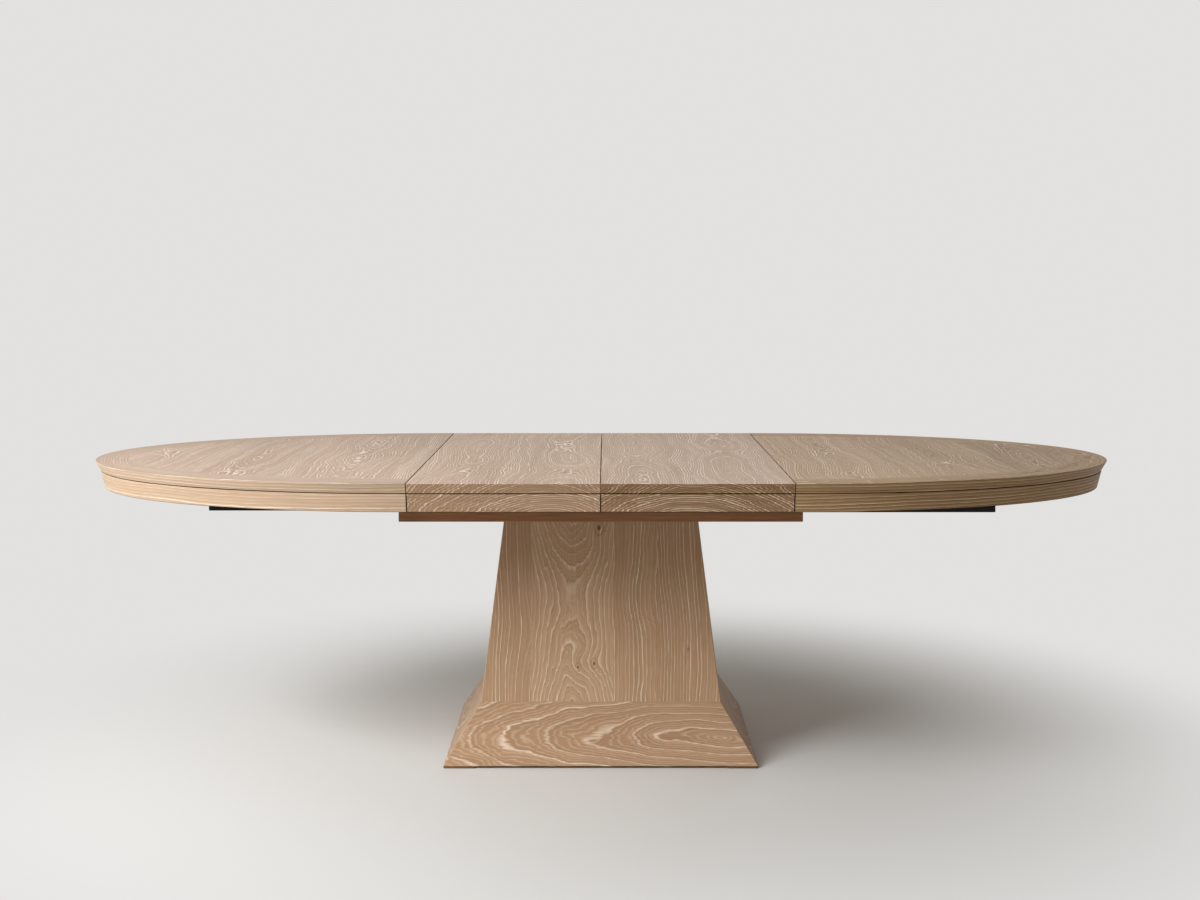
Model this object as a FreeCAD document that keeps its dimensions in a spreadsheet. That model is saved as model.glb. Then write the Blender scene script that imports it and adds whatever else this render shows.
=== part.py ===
import FreeCAD, Part
import math
import os
import Sketcher

# Extending oval dining table on a tapered pedestal, millimetres, +Z up.
# The origin is on the floor under the middle of the table, +X runs along its length, -Y is its front.
# At rest the table stands extended, with both leaves in.

SIZES = {
    # The whole table
    "table_height": 762,
    "table_width": 1220,
    "end_length": 898,
    "leaf_length": 457,
    "seam_gap": 0.6,
    "fit_gap": 0.3,
    "running_gap": 0.05,
    "overrun": 5,
    # Tabletop edge: an undercut top, a shadow groove and an undercut apron
    "top_thickness": 25,
    "top_edge_inset": 13,
    "apron_height": 46,
    "apron_edge_inset": 12,
    "apron_thickness": 22,
    "groove_height": 2.5,
    "groove_depth": 4,
    # Pedestal
    "base_length": 798,
    "base_width": 598,
    "foot_height": 6,
    "foot_length": 80,
    "skirt_height": 140,
    "skirt_inset": 89,
    "skirt_wall": 24,
    "column_inset": 58.5,
    "column_wall": 20,
    "base_plate_thickness": 18,
    "top_plate_thickness": 25,
    "corner_block_width": 36,
    # Carrier board and its fixings
    "board_overhang": 46.7,
    "board_setback": 245,
    "board_thickness": 25,
    "board_bolt_radius": 5,
    "board_bolt_head_radius": 9,
    "board_bolt_head_height": 6,
    "board_bolt_inset_x": 51.5,
    "board_bolt_inset_y": 41.5,
    "rail_screw_radius": 2.5,
    "rail_screw_head_radius": 4.5,
    "rail_screw_head_height": 3.5,
    "rail_screw_grip": 20,
    # Fixed rails, one at the front and one at the back, with a rib on each side of a web
    "rail_setback": 8,
    "rail_web": 10,
    "rail_web_drop": 3,
    "rib_neck_gap": 4.5,
    "rib_head_gap": 0.7,
    "glide_thickness": 1.7,
    # Slides that run on the ribs, lipped channels
    "slide_height": 55,
    "slide_depth": 17,
    "slide_wall": 3,
    "slide_lip": 8,
    "slide_side_gap": 1,
    "slide_lift": 1,
    "slide_tip_distance": 375,
    "slide_tail_distance": 298,
    "slide_stop_length": 20,
    "slide_travel": 70,
    # Battens under the ends, bearers under the leaves
    "bearer_thickness": 21,
    "bearer_width": 60,
    "batten_width": 60,
    "batten_overhang": 6,
    "batten_relief": 2,
    "batten_relief_margin": 3.5,
    "inner_batten_place": 30,
    "outer_batten_setback": 23,
    "bearer_end_gap": 8,
    "batten_screw_radius": 2.5,
    "batten_screw_head_radius": 5,
    "batten_screw_head_height": 4,
    "batten_screw_bite": 12,
    # Equalising gear: a pinion between two racks
    "tooth_module": 3,
    "tooth_count": 18,
    "tooth_play": 0.3,
    "gear_thickness": 12,
    "gear_axle_radius": 6,
    "gear_axle_head_radius": 10,
    "gear_axle_head_height": 3,
    "gear_axle_sink": 30,
    "gear_block_length": 120,
    "rack_back": 10,
    "rack_lead": 60,
    "rack_screw_spacing": 30,
    "rack_guide_thickness": 8,
    # Seam pins, lock levers and lock studs
    "pin_radius": 4,
    "pin_length": 24,
    "pin_bare_length": 12,
    "lock_edge_distance": 155,
    "lock_setback": 30,
    "lock_plate_length": 36,
    "lock_plate_width": 26,
    "lock_plate_thickness": 3,
    "lock_post_radius": 4,
    "lock_post_head_radius": 7,
    "lock_post_head_height": 3,
    "lever_thickness": 4,
    "lever_width": 24,
    "lever_nose": 14,
    "lever_tail": 26,
    "lock_stud_radius": 4,
}

# Places along a length, as shares of half of it
RAIL_SCREW_SHARES = (-0.92, -0.46, 0, 0.46, 0.92)
PIN_SHARES = (-0.79, -0.26, 0.26, 0.79)
BATTEN_SCREW_SHARES = (-0.6, -0.3, 0.3, 0.6)

# Heights, from the tabletop down
TOP_UNDER = "(dim.table_height - dim.top_thickness)"
APRON_UNDER = f"({TOP_UNDER} - dim.apron_height)"
SLIDE_TOP = f"({TOP_UNDER} - dim.bearer_thickness)"
SLIDE_UNDER = f"({SLIDE_TOP} - dim.slide_height)"
SLIDE_MIDDLE = f"({SLIDE_TOP} - dim.slide_height / 2)"
BOARD_TOP = f"({SLIDE_UNDER} - dim.slide_lift)"
BOARD_UNDER = f"({BOARD_TOP} - dim.board_thickness)"
LOCK_UNDER = f"({TOP_UNDER} - dim.lock_plate_thickness)"
LEVER_UNDER = f"({LOCK_UNDER} - dim.fit_gap - dim.lever_thickness)"

# Heights, from the floor up
BASE_TOP = "(dim.foot_height + dim.base_plate_thickness)"
SKIRT_TOP = "(dim.foot_height + dim.skirt_height)"
SKIRT_SLOPE = "(dim.skirt_inset / dim.skirt_height)"
COLUMN_SLOPE = f"(dim.column_inset / ({BOARD_UNDER} - {SKIRT_TOP}))"

# Seam between an end and a leaf, and what lies under it: the board, its rails and the slides
SEAM = "(dim.leaf_length + dim.seam_gap / 2)"
BOARD_LENGTH = f"(2 * ({SEAM} + dim.board_overhang))"
BOARD_WIDTH = "(dim.table_width - 2 * dim.board_setback)"
RAIL_CENTRE = f"({BOARD_WIDTH} / 2 - dim.rail_setback)"
SLIDE_REACH = "(dim.end_length - dim.slide_tip_distance)"
SLIDE_TAIL = "(dim.end_length - dim.slide_tail_distance)"
OUTER_BATTEN_PLACE = f"({SLIDE_REACH} - dim.outer_batten_setback - dim.batten_width)"
LOCK_PLACE = "(dim.table_width / 2 - dim.lock_edge_distance)"

# Gear teeth: the pitch line's distance from the axle, and how far a tooth stands out and cuts in
DEDENDUM_SHARE = 1.25
PITCH_RADIUS = "(dim.tooth_module * dim.tooth_count / 2)"
ADDENDUM = "dim.tooth_module"
DEDENDUM = f"({DEDENDUM_SHARE} * dim.tooth_module)"
RACK_UNDER = f"({SLIDE_TOP} - dim.gear_thickness)"
RACK_OUTSIDE = f"({PITCH_RADIUS} + {DEDENDUM} + dim.rack_back)"
GEAR_BLOCK_TOP = f"({RACK_UNDER} - dim.fit_gap)"
PRESSURE_ANGLE = 20

# The fixed ribs end where a slide's stop meets them at full travel
RIB_START = f"({SEAM} - {SLIDE_TAIL} + dim.slide_stop_length + dim.slide_travel + dim.fit_gap)"
OUTER_LANE = 1
INNER_LANE = -1

document = FreeCAD.newDocument("extending_table")
dim = document.addObject("Spreadsheet::Sheet", "dim")
for row, (alias, value) in enumerate(SIZES.items(), start=1):
    dim.set(f"A{row}", alias)
    dim.set(f"B{row}", str(value))
    dim.setAlias(f"B{row}", alias)
document.recompute()

nodes = []


def keep(label, piece):
    """Name a finished sub-part and list it for writing."""
    piece.Label = label
    nodes.append(piece)
    return piece


def bind(item, **bindings):
    """Tie properties of an object to expressions, with dots written as double underscores."""
    for name, expression in bindings.items():
        item.setExpression(name.replace("__", "."), str(expression))
    return item


def place(item, x=0, y=0, z=0, turn=0):
    """Put an object at x, y, z, turned about +Z by turn degrees."""
    item.Placement = FreeCAD.Placement(
        FreeCAD.Vector(), FreeCAD.Rotation(FreeCAD.Vector(0, 0, 1), turn)
    )
    return bind(item, Placement__Base__x=x, Placement__Base__y=y, Placement__Base__z=z)


def box(x, y, z, length, width, height):
    """A box with its lowest corner at x, y, z."""
    solid = document.addObject("Part::Box", "box")
    bind(solid, Length=length, Width=width, Height=height)
    return place(solid, x, y, z)


def centred_box(x, y, z, length, width, height):
    """A box centred on x and y, standing on z."""
    return box(f"{x} - {length} / 2", f"{y} - {width} / 2", z, length, width, height)


def cylinder(x, y, z, radius, height, angle=360, turn=0):
    """An upright cylinder, or a sector of one, standing on z."""
    solid = document.addObject("Part::Cylinder", "cylinder")
    bind(solid, Radius=radius, Height=height)
    solid.Angle = angle
    return place(solid, x, y, z, turn)


def level_cylinder(x, y, z, radius, length):
    """A cylinder lying along X, from x onwards."""
    solid = document.addObject("Part::Cylinder", "cylinder")
    bind(solid, Radius=radius, Height=length)
    solid.Placement = FreeCAD.Placement(
        FreeCAD.Vector(), FreeCAD.Rotation(FreeCAD.Vector(0, 1, 0), 90)
    )
    return bind(solid, Placement__Base__x=x, Placement__Base__y=y, Placement__Base__z=z)


def cut(solid, tools):
    """A solid less the tools given."""
    result = document.addObject("Part::Cut", "cut")
    result.Base = solid
    result.Tool = group(tools) if len(tools) > 1 else tools[0]
    return result


def fuse(solids):
    """One solid from several that touch."""
    result = document.addObject("Part::MultiFuse", "fuse")
    result.Shapes = solids
    return result


def group(solids):
    """Separate solids kept together."""
    result = document.addObject("Part::Compound", "group")
    result.Links = solids
    return result


def new_body():
    return document.addObject("PartDesign::Body", "body")


def new_sketch(body, role, offset):
    """An empty sketch on one of the body's own origin planes, moved along its normal by offset."""
    sketch = body.newObject("Sketcher::SketchObject", "sketch")
    plane = [item for item in body.Origin.OriginFeatures if item.Role == role][0]
    sketch.AttachmentSupport = [(plane, "")]
    sketch.MapMode = "FlatFace"
    bind(sketch, AttachmentOffset__Base__z=offset)
    return sketch


def measure(sketch, kind, geometry, point, drawn, expression):
    """A distance from the sketch's origin to a point, drawn at one value and bound to an expression."""
    constraint = sketch.addConstraint(Sketcher.Constraint(kind, -1, 1, geometry, point, drawn))
    sketch.setExpression(f"Constraints[{constraint}]", str(expression))


def outline(body, role, points, offset=0):
    """A closed outline of straight lines through points given as pairs of expressions."""
    sketch = new_sketch(body, role, offset)
    count = len(points)
    start = [
        FreeCAD.Vector(math.cos(math.tau * i / count), math.sin(math.tau * i / count), 0)
        for i in range(count)
    ]
    for i in range(count):
        sketch.addGeometry(Part.LineSegment(start[i], start[(i + 1) % count]), False)
    for i in range(count):
        sketch.addConstraint(Sketcher.Constraint("Coincident", i, 2, (i + 1) % count, 1))
    for i, (across, up) in enumerate(points):
        measure(sketch, "DistanceX", i, 1, start[i].x, across)
        measure(sketch, "DistanceY", i, 1, start[i].y, up)
    return sketch


def half_oval(body, inset, offset):
    """Half an ellipse on the seam line, drawn in from the tabletop's outline by inset."""
    sketch = new_sketch(body, "XY_Plane", offset)
    long_radius = dim.end_length
    short_radius = dim.table_width / 2
    oval = Part.Ellipse(FreeCAD.Vector(), long_radius, short_radius)
    arc = sketch.addGeometry(Part.ArcOfEllipse(oval, -math.pi / 2, math.pi / 2), False)
    sketch.exposeInternalGeometry(arc)
    long_axis = arc + 1
    short_axis = arc + 2
    ends = (FreeCAD.Vector(0, short_radius, 0), FreeCAD.Vector(0, -short_radius, 0))
    seam = sketch.addGeometry(Part.LineSegment(*ends), False)
    sketch.addConstraint(Sketcher.Constraint("Coincident", arc, 3, -1, 1))
    sketch.addConstraint(Sketcher.Constraint("PointOnObject", long_axis, 1, -1))
    sketch.addConstraint(Sketcher.Constraint("Coincident", arc, 2, seam, 1))
    sketch.addConstraint(Sketcher.Constraint("Coincident", arc, 1, seam, 2))
    sketch.addConstraint(Sketcher.Constraint("PointOnObject", seam, 1, -2))
    sketch.addConstraint(Sketcher.Constraint("PointOnObject", seam, 2, -2))
    measure(sketch, "DistanceX", long_axis, 1, long_radius, f"dim.end_length - {inset}")
    measure(sketch, "DistanceY", short_axis, 1, short_radius, f"dim.table_width / 2 - {inset}")
    return sketch


def pad(body, sketch, length, both_ways=False):
    feature = body.newObject("PartDesign::Pad", "pad")
    feature.Profile = sketch
    feature.SideType = "Symmetric" if both_ways else "One side"
    return bind(feature, Length=length)


def pocket_through(body, sketch):
    feature = body.newObject("PartDesign::Pocket", "pocket")
    feature.Profile = sketch
    feature.Type = "ThroughAll"
    feature.SideType = "Symmetric"
    return feature


def loft(body, first, second):
    feature = body.newObject("PartDesign::AdditiveLoft", "loft")
    feature.Profile = first
    feature.Sections = [second]
    feature.Ruled = True
    return feature


# Pedestal panels


def column_half(across, height):
    """Half of the column's size across, at a height."""
    return f"({across} / 2 - dim.skirt_inset + {COLUMN_SLOPE} * ({SKIRT_TOP} - {height}))"


def skirt_half(across, height):
    """Half of the skirt's size across, at a height."""
    return f"({across} / 2 - {SKIRT_SLOPE} * ({height} - dim.foot_height))"


def mitred_panel(label, section, along, across, turn):
    """A panel with its section facing -Y, its ends mitred at 45 degrees, then turned into place."""
    body = new_body()
    pad(body, outline(body, "YZ_Plane", section), along, both_ways=True)
    mitre = f"({along} - {across}) / 2"
    for hand in (1, -1):
        corner = f"{hand} * ({mitre} + {across})"
        waste = [(f"{hand} * {mitre}", "0"), (corner, "0"), (corner, f"-{across}")]
        pocket_through(body, outline(body, "XY_Plane", waste))
    keep(label, place(body, turn=turn))


def column_panel(label, along, across, turn):
    foot = column_half(across, BASE_TOP)
    head = column_half(across, BOARD_UNDER)
    section = [
        (f"-{foot}", BASE_TOP),
        (f"-{head}", BOARD_UNDER),
        (f"-({head} - dim.column_wall)", BOARD_UNDER),
        (f"-({foot} - dim.column_wall)", BASE_TOP),
    ]
    mitred_panel(label, section, along, across, turn)


def skirt_panel(label, along, across, turn):
    """A sloping skirt panel whose upper back edge is planed to lie on the column."""
    lap_end = f"({SKIRT_TOP} - dim.skirt_wall / ({SKIRT_SLOPE} - {COLUMN_SLOPE}))"
    section = [
        (f"-({across} / 2)", "dim.foot_height"),
        (f"-{skirt_half(across, SKIRT_TOP)}", SKIRT_TOP),
        (f"-{column_half(across, lap_end)}", lap_end),
        (f"-({across} / 2 - dim.skirt_wall)", "dim.foot_height"),
    ]
    mitred_panel(label, section, along, across, turn)


SIDES = (
    ("front", "dim.base_length", "dim.base_width", 0),
    ("right", "dim.base_width", "dim.base_length", 90),
    ("back", "dim.base_length", "dim.base_width", 180),
    ("left", "dim.base_width", "dim.base_length", 270),
)

for side, along, across, turn in SIDES:
    column_panel(f"column_{side}", along, across, turn)
for side, along, across, turn in SIDES:
    skirt_panel(f"skirt_{side}", along, across, turn)


# Pedestal inside: base plate, corner blocks, top plate and feet


def board_bolt_places():
    """Bolt places, set in from the column's inner faces under the board."""
    inner_x = f"({column_half('dim.base_length', BOARD_UNDER)} - dim.column_wall)"
    inner_y = f"({column_half('dim.base_width', BOARD_UNDER)} - dim.column_wall)"
    return [
        (f"{right} * ({inner_x} - dim.board_bolt_inset_x)", f"{back} * ({inner_y} - dim.board_bolt_inset_y)")
        for right in (1, -1)
        for back in (1, -1)
    ]


def base_plate():
    half_x = skirt_half("dim.base_length", BASE_TOP)
    half_y = skirt_half("dim.base_width", BASE_TOP)
    length = f"2 * ({half_x} - dim.skirt_wall - dim.fit_gap)"
    width = f"2 * ({half_y} - dim.skirt_wall - dim.fit_gap)"
    keep("base_plate", centred_box(0, 0, "dim.foot_height", length, width, "dim.base_plate_thickness"))


def corner_feet():
    feet = []
    for right in (1, -1):
        for back in (1, -1):
            x = f"{right} * (dim.base_length - dim.foot_length) / 2"
            y = f"{back} * (dim.base_width - dim.foot_length) / 2"
            feet.append(centred_box(x, y, 0, "dim.foot_length", "dim.foot_length", "dim.foot_height"))
    keep("corner_feet", group(feet))


def corner_block(right, back):
    """A leaning square block glued into an inner corner of the column."""
    head = f"({BOARD_UNDER} - dim.top_plate_thickness)"
    low_x = f"({column_half('dim.base_length', BASE_TOP)} - dim.column_wall)"
    low_y = f"({column_half('dim.base_width', BASE_TOP)} - dim.column_wall)"
    high_x = f"({column_half('dim.base_length', head)} - dim.column_wall)"
    high_y = f"({column_half('dim.base_width', head)} - dim.column_wall)"
    body = new_body()
    squares = []
    for level, far_x, far_y in ((BASE_TOP, low_x, low_y), (head, high_x, high_y)):
        near_x = f"({far_x} - dim.corner_block_width)"
        near_y = f"({far_y} - dim.corner_block_width)"
        corners = ((near_x, near_y), (far_x, near_y), (far_x, far_y), (near_x, far_y))
        points = [(f"{right} * {x}", f"{back} * {y}") for x, y in corners]
        squares.append(outline(body, "XY_Plane", points, level))
    loft(body, *squares)
    return body


def column_top_plate():
    length = f"2 * ({column_half('dim.base_length', BOARD_UNDER)} - dim.column_wall - dim.fit_gap)"
    width = f"2 * ({column_half('dim.base_width', BOARD_UNDER)} - dim.column_wall - dim.fit_gap)"
    under = f"{BOARD_UNDER} - dim.top_plate_thickness"
    plate = centred_box(0, 0, under, length, width, "dim.top_plate_thickness")
    holes = [
        cylinder(x, y, under, "dim.board_bolt_radius", "dim.top_plate_thickness")
        for x, y in board_bolt_places()
    ]
    keep("column_top_plate", cut(plate, holes))


base_plate()
corner_feet()
keep("column_corner_blocks", group([corner_block(right, back) for right in (1, -1) for back in (1, -1)]))
column_top_plate()


# Carrier board, its bolts and its screws


def rail_screw_places():
    return [
        (f"{share} * {BOARD_LENGTH} / 2", f"{back} * {RAIL_CENTRE}")
        for share in RAIL_SCREW_SHARES
        for back in (1, -1)
    ]


def gear_block_screw_places():
    return [(f"{right} * dim.gear_block_length / 3", "0") for right in (1, -1)]


def carrier_board():
    board = centred_box(0, 0, BOARD_UNDER, BOARD_LENGTH, BOARD_WIDTH, "dim.board_thickness")
    holes = [
        cylinder(x, y, BOARD_UNDER, "dim.board_bolt_radius", "dim.board_thickness")
        for x, y in board_bolt_places()
    ]
    holes += [
        cylinder(x, y, BOARD_UNDER, "dim.rail_screw_radius", "dim.board_thickness")
        for x, y in rail_screw_places() + gear_block_screw_places()
    ]
    holes += [
        cylinder(x, y, BOARD_UNDER, "dim.rail_screw_head_radius", "dim.rail_screw_head_height")
        for x, y in rail_screw_places() + gear_block_screw_places()
    ]
    keep("carrier_board", cut(board, holes))


def carrier_fixings():
    """Bolts down into the column, and screws, flush below, up into the rails and the gear block."""
    fixings = []
    for x, y in board_bolt_places():
        length = "(dim.board_thickness + dim.top_plate_thickness)"
        shank = cylinder(x, y, f"{BOARD_TOP} - {length}", "dim.board_bolt_radius", length)
        head = cylinder(x, y, BOARD_TOP, "dim.board_bolt_head_radius", "dim.board_bolt_head_height")
        fixings.append(fuse([shank, head]))
    for x, y in rail_screw_places() + gear_block_screw_places():
        length = "(dim.board_thickness + dim.rail_screw_grip)"
        shank = cylinder(x, y, BOARD_UNDER, "dim.rail_screw_radius", length)
        head = cylinder(x, y, BOARD_UNDER, "dim.rail_screw_head_radius", "dim.rail_screw_head_height")
        fixings.append(fuse([shank, head]))
    keep("carrier_fixings", group(fixings))


carrier_board()
carrier_fixings()


# Fixed rails with their glides


def lane_place(back, lane, out):
    """Y of a point that lies out from the web's face, in a lane outside or inside the web."""
    return f"{back} * ({RAIL_CENTRE} + {lane} * (dim.rail_web / 2 + {out}))"


NECK_END = "(dim.slide_side_gap + dim.slide_wall + dim.fit_gap)"
NECK_HALF = "(dim.slide_height / 2 - dim.slide_wall - dim.slide_lip - dim.rib_neck_gap)"
HEAD_END = "(dim.slide_side_gap + dim.slide_depth - dim.slide_wall - dim.rib_head_gap)"
HEAD_DEPTH = f"({HEAD_END} - {NECK_END})"
HEAD_HALF = "(dim.slide_height / 2 - dim.slide_wall - dim.glide_thickness - dim.fit_gap)"


def rib_outline(body, back, lane, offset):
    """A T-shaped rib's section, from the middle of the web to the head."""
    root = f"{back} * {RAIL_CENTRE}"
    neck = lane_place(back, lane, NECK_END)
    end = lane_place(back, lane, HEAD_END)
    points = []
    for up in (1, -1):
        side = [
            (root, f"{SLIDE_MIDDLE} + {up} * {NECK_HALF}"),
            (neck, f"{SLIDE_MIDDLE} + {up} * {NECK_HALF}"),
            (neck, f"{SLIDE_MIDDLE} + {up} * {HEAD_HALF}"),
            (end, f"{SLIDE_MIDDLE} + {up} * {HEAD_HALF}"),
        ]
        points += side if up == 1 else side[::-1]
    return outline(body, "YZ_Plane", points, offset)


def fixed_rail(side, back):
    """A web standing on the board, with the right slide's rib outside it and the left one's inside."""
    body = new_body()
    near = f"{back} * {RAIL_CENTRE} - dim.rail_web / 2"
    far = f"{back} * {RAIL_CENTRE} + dim.rail_web / 2"
    top = f"{SLIDE_TOP} - dim.rail_web_drop"
    web = [(near, BOARD_TOP), (far, BOARD_TOP), (far, top), (near, top)]
    pad(body, outline(body, "YZ_Plane", web), BOARD_LENGTH, both_ways=True)
    rib_length = f"{BOARD_LENGTH} / 2 - {RIB_START}"
    pad(body, rib_outline(body, back, OUTER_LANE, RIB_START), rib_length)
    pad(body, rib_outline(body, back, INNER_LANE, f"-{BOARD_LENGTH} / 2"), rib_length)
    holes = [
        cylinder(x, y, BOARD_TOP, "dim.rail_screw_radius", "dim.rail_screw_grip")
        for x, y in rail_screw_places()
    ]
    keep(f"{side}_fixed_rail", cut(body, holes))


def rail_glides():
    """Low-friction strips above and below each rib's head."""
    glides = []
    length = f"({BOARD_LENGTH} / 2 - {RIB_START})"
    for back in (1, -1):
        for lane in (OUTER_LANE, INNER_LANE):
            x = RIB_START if lane == OUTER_LANE else f"-{BOARD_LENGTH} / 2"
            middle = lane_place(back, lane, f"({NECK_END} + {HEAD_DEPTH} / 2)")
            y = f"{middle} - {HEAD_DEPTH} / 2"
            over = f"{SLIDE_MIDDLE} + {HEAD_HALF}"
            under = f"{SLIDE_MIDDLE} - {HEAD_HALF} - dim.glide_thickness"
            for z in (over, under):
                glides.append(box(x, y, z, length, HEAD_DEPTH, "dim.glide_thickness"))
    keep("rail_glides", group(glides))


fixed_rail("front", -1)
fixed_rail("back", 1)
rail_glides()


# Equalising gear on the carrier board


def gear_block():
    width = f"2 * ({RACK_OUTSIDE} + dim.fit_gap + dim.rack_guide_thickness)"
    height = f"({GEAR_BLOCK_TOP} - {BOARD_TOP})"
    block = centred_box(0, 0, BOARD_TOP, "dim.gear_block_length", width, height)
    bore_foot = f"{GEAR_BLOCK_TOP} - dim.gear_axle_sink"
    bore = cylinder(0, 0, bore_foot, "dim.gear_axle_radius", "dim.gear_axle_sink")
    holes = [
        cylinder(x, y, BOARD_TOP, "dim.rail_screw_radius", "dim.rail_screw_grip")
        for x, y in gear_block_screw_places()
    ]
    keep("gear_block", cut(block, [bore] + holes))


def gear_axle():
    """A shoulder screw that stands in the block and holds the pinion down with its head."""
    length = "(dim.gear_axle_sink + dim.gear_thickness + 2 * dim.fit_gap)"
    post = cylinder(0, 0, f"{GEAR_BLOCK_TOP} - dim.gear_axle_sink", "dim.gear_axle_radius", length)
    head_under = f"{SLIDE_TOP} + dim.fit_gap"
    head = cylinder(0, 0, head_under, "dim.gear_axle_head_radius", "dim.gear_axle_head_height")
    keep("gear_axle", fuse([post, head]))


def rack_guides():
    """Two bars on the block, one behind each rack."""
    middle = f"({RACK_OUTSIDE} + dim.fit_gap + dim.rack_guide_thickness / 2)"
    height = f"({SLIDE_TOP} - {GEAR_BLOCK_TOP})"
    size = ("dim.gear_block_length", "dim.rack_guide_thickness", height)
    guides = [centred_box(0, f"{back} * {middle}", GEAR_BLOCK_TOP, *size) for back in (1, -1)]
    keep("rack_guides", group(guides))


def involute_point(base_radius, radius, turn):
    """A point of an involute flank at a radius, turned about the gear's axis."""
    roll = math.acos(min(1, base_radius / radius))
    angle = turn + math.tan(roll) - roll
    return FreeCAD.Vector(radius * math.cos(angle), radius * math.sin(angle), 0)


def pinion_gear():
    """A spur gear with involute flanks, one tooth pointing at each rack."""
    count = int(dim.tooth_count)
    pitch_radius = dim.tooth_module * count / 2
    base_radius = pitch_radius * math.cos(math.radians(PRESSURE_ANGLE))
    tip_radius = pitch_radius + dim.tooth_module
    root_radius = pitch_radius - DEDENDUM_SHARE * dim.tooth_module
    roll = math.radians(PRESSURE_ANGLE)
    flank_turn = -math.pi / 2 / count - (math.tan(roll) - roll)
    steps = 6
    radii = [base_radius + (tip_radius - base_radius) * step / steps for step in range(steps + 1)]
    points = []
    for tooth in range(count):
        middle = math.tau * tooth / count - math.pi / 2
        rising = [involute_point(base_radius, radius, flank_turn) for radius in radii]
        root = FreeCAD.Vector(root_radius * math.cos(flank_turn), root_radius * math.sin(flank_turn), 0)
        flank = [root] + rising
        mirrored = [FreeCAD.Vector(point.x, -point.y, 0) for point in reversed(flank)]
        turned = FreeCAD.Rotation(FreeCAD.Vector(0, 0, 1), math.degrees(middle))
        points += [turned.multVec(point) for point in flank + mirrored]
    face = Part.Face(Part.makePolygon(points + points[:1]))
    blank = face.extrude(FreeCAD.Vector(0, 0, dim.gear_thickness))
    bore_radius = dim.gear_axle_radius + dim.running_gap
    gear = document.addObject("Part::Feature", "pinion")
    gear.Shape = blank.cut(Part.makeCylinder(bore_radius, dim.gear_thickness))
    keep("pinion_gear", place(gear, z=RACK_UNDER))


gear_block()
gear_axle()
rack_guides()
pinion_gear()


# Ends. Each is built with its seam on x = 0 and its tip towards +X, and the left one is turned half round


PIN_HEIGHT = f"({TOP_UNDER} + dim.top_thickness / 2)"
PIN_SUNK_LENGTH = "(dim.pin_length - dim.pin_bare_length)"


def pin_places():
    return [f"{share} * dim.table_width / 2" for share in PIN_SHARES]


def place_end(side, solid):
    if side == "right":
        return place(solid, x=SEAM)
    return place(solid, x=f"-{SEAM}", turn=180)


def screw_into_top(x, y):
    """A screw from a batten's underside up into the top."""
    length = "(dim.bearer_thickness + dim.batten_screw_bite)"
    shank = cylinder(x, y, SLIDE_TOP, "dim.batten_screw_radius", length)
    head = cylinder(x, y, SLIDE_TOP, "dim.batten_screw_head_radius", "dim.batten_screw_head_height")
    return fuse([shank, head])


def screw_into_slide(x, y):
    """A screw from a batten's upper face down through a slide's top wall."""
    length = "(dim.bearer_thickness + dim.slide_wall)"
    shank = cylinder(x, y, f"{SLIDE_TOP} - dim.slide_wall", "dim.batten_screw_radius", length)
    under = f"{TOP_UNDER} - dim.batten_screw_head_height"
    head = cylinder(x, y, under, "dim.batten_screw_head_radius", "dim.batten_screw_head_height")
    return fuse([shank, head])


BATTEN_MIDDLES = (
    "(dim.inner_batten_place + dim.batten_width / 2)",
    f"({OUTER_BATTEN_PLACE} + dim.batten_width / 2)",
)
RACK_FAR_END = "(dim.inner_batten_place + dim.batten_width)"
SLIDE_MIDDLE_OUT = "(dim.slide_side_gap + dim.slide_depth / 2)"


def slide_screw_places(lane):
    return [(x, lane_place(back, lane, SLIDE_MIDDLE_OUT)) for x in BATTEN_MIDDLES for back in (1, -1)]


def batten_screw_places():
    return [(x, f"{share} * {RAIL_CENTRE}") for x in BATTEN_MIDDLES for share in BATTEN_SCREW_SHARES]


def rack_screw_places():
    middle = f"-({PITCH_RADIUS} + {DEDENDUM} + dim.rack_back / 2)"
    return [
        (f"{BATTEN_MIDDLES[0]} + {right} * dim.rack_screw_spacing / 2", middle)
        for right in (1, -1)
    ]


def end_top(side):
    """Half an oval panel with an undercut edge, drilled for its seam pins and batten screws."""
    body = new_body()
    loft(body, half_oval(body, 0, "dim.table_height"), half_oval(body, "dim.top_edge_inset", TOP_UNDER))
    holes = [
        level_cylinder("0", y, PIN_HEIGHT, "dim.pin_radius", PIN_SUNK_LENGTH) for y in pin_places()
    ]
    holes += [
        cylinder(x, y, TOP_UNDER, "dim.batten_screw_radius", "dim.batten_screw_bite")
        for x, y in batten_screw_places()
    ]
    keep(f"{side}_end_top", place_end(side, cut(body, holes)))


def apron_inset_at_groove():
    """How far the apron's face is drawn in where the groove ends."""
    share = "dim.groove_height / dim.apron_height"
    return f"(dim.top_edge_inset + dim.apron_edge_inset * {share})"


APRON_FOOT_INSET = "(dim.top_edge_inset + dim.apron_edge_inset)"
APRON_BACK_INSET = f"({APRON_FOOT_INSET} + dim.apron_thickness)"


def end_apron(side):
    """A half-oval band under the top, grooved along its upper edge."""
    body = new_body()
    groove_under = f"{TOP_UNDER} - dim.groove_height"
    upper = half_oval(body, apron_inset_at_groove(), groove_under)
    loft(body, upper, half_oval(body, APRON_FOOT_INSET, APRON_UNDER))
    pad(body, half_oval(body, "(dim.top_edge_inset + dim.groove_depth)", groove_under), "dim.groove_height")
    document.recompute()
    pocket_through(body, half_oval(body, APRON_BACK_INSET, APRON_UNDER))
    keep(f"{side}_end_apron", place_end(side, body))


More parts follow.
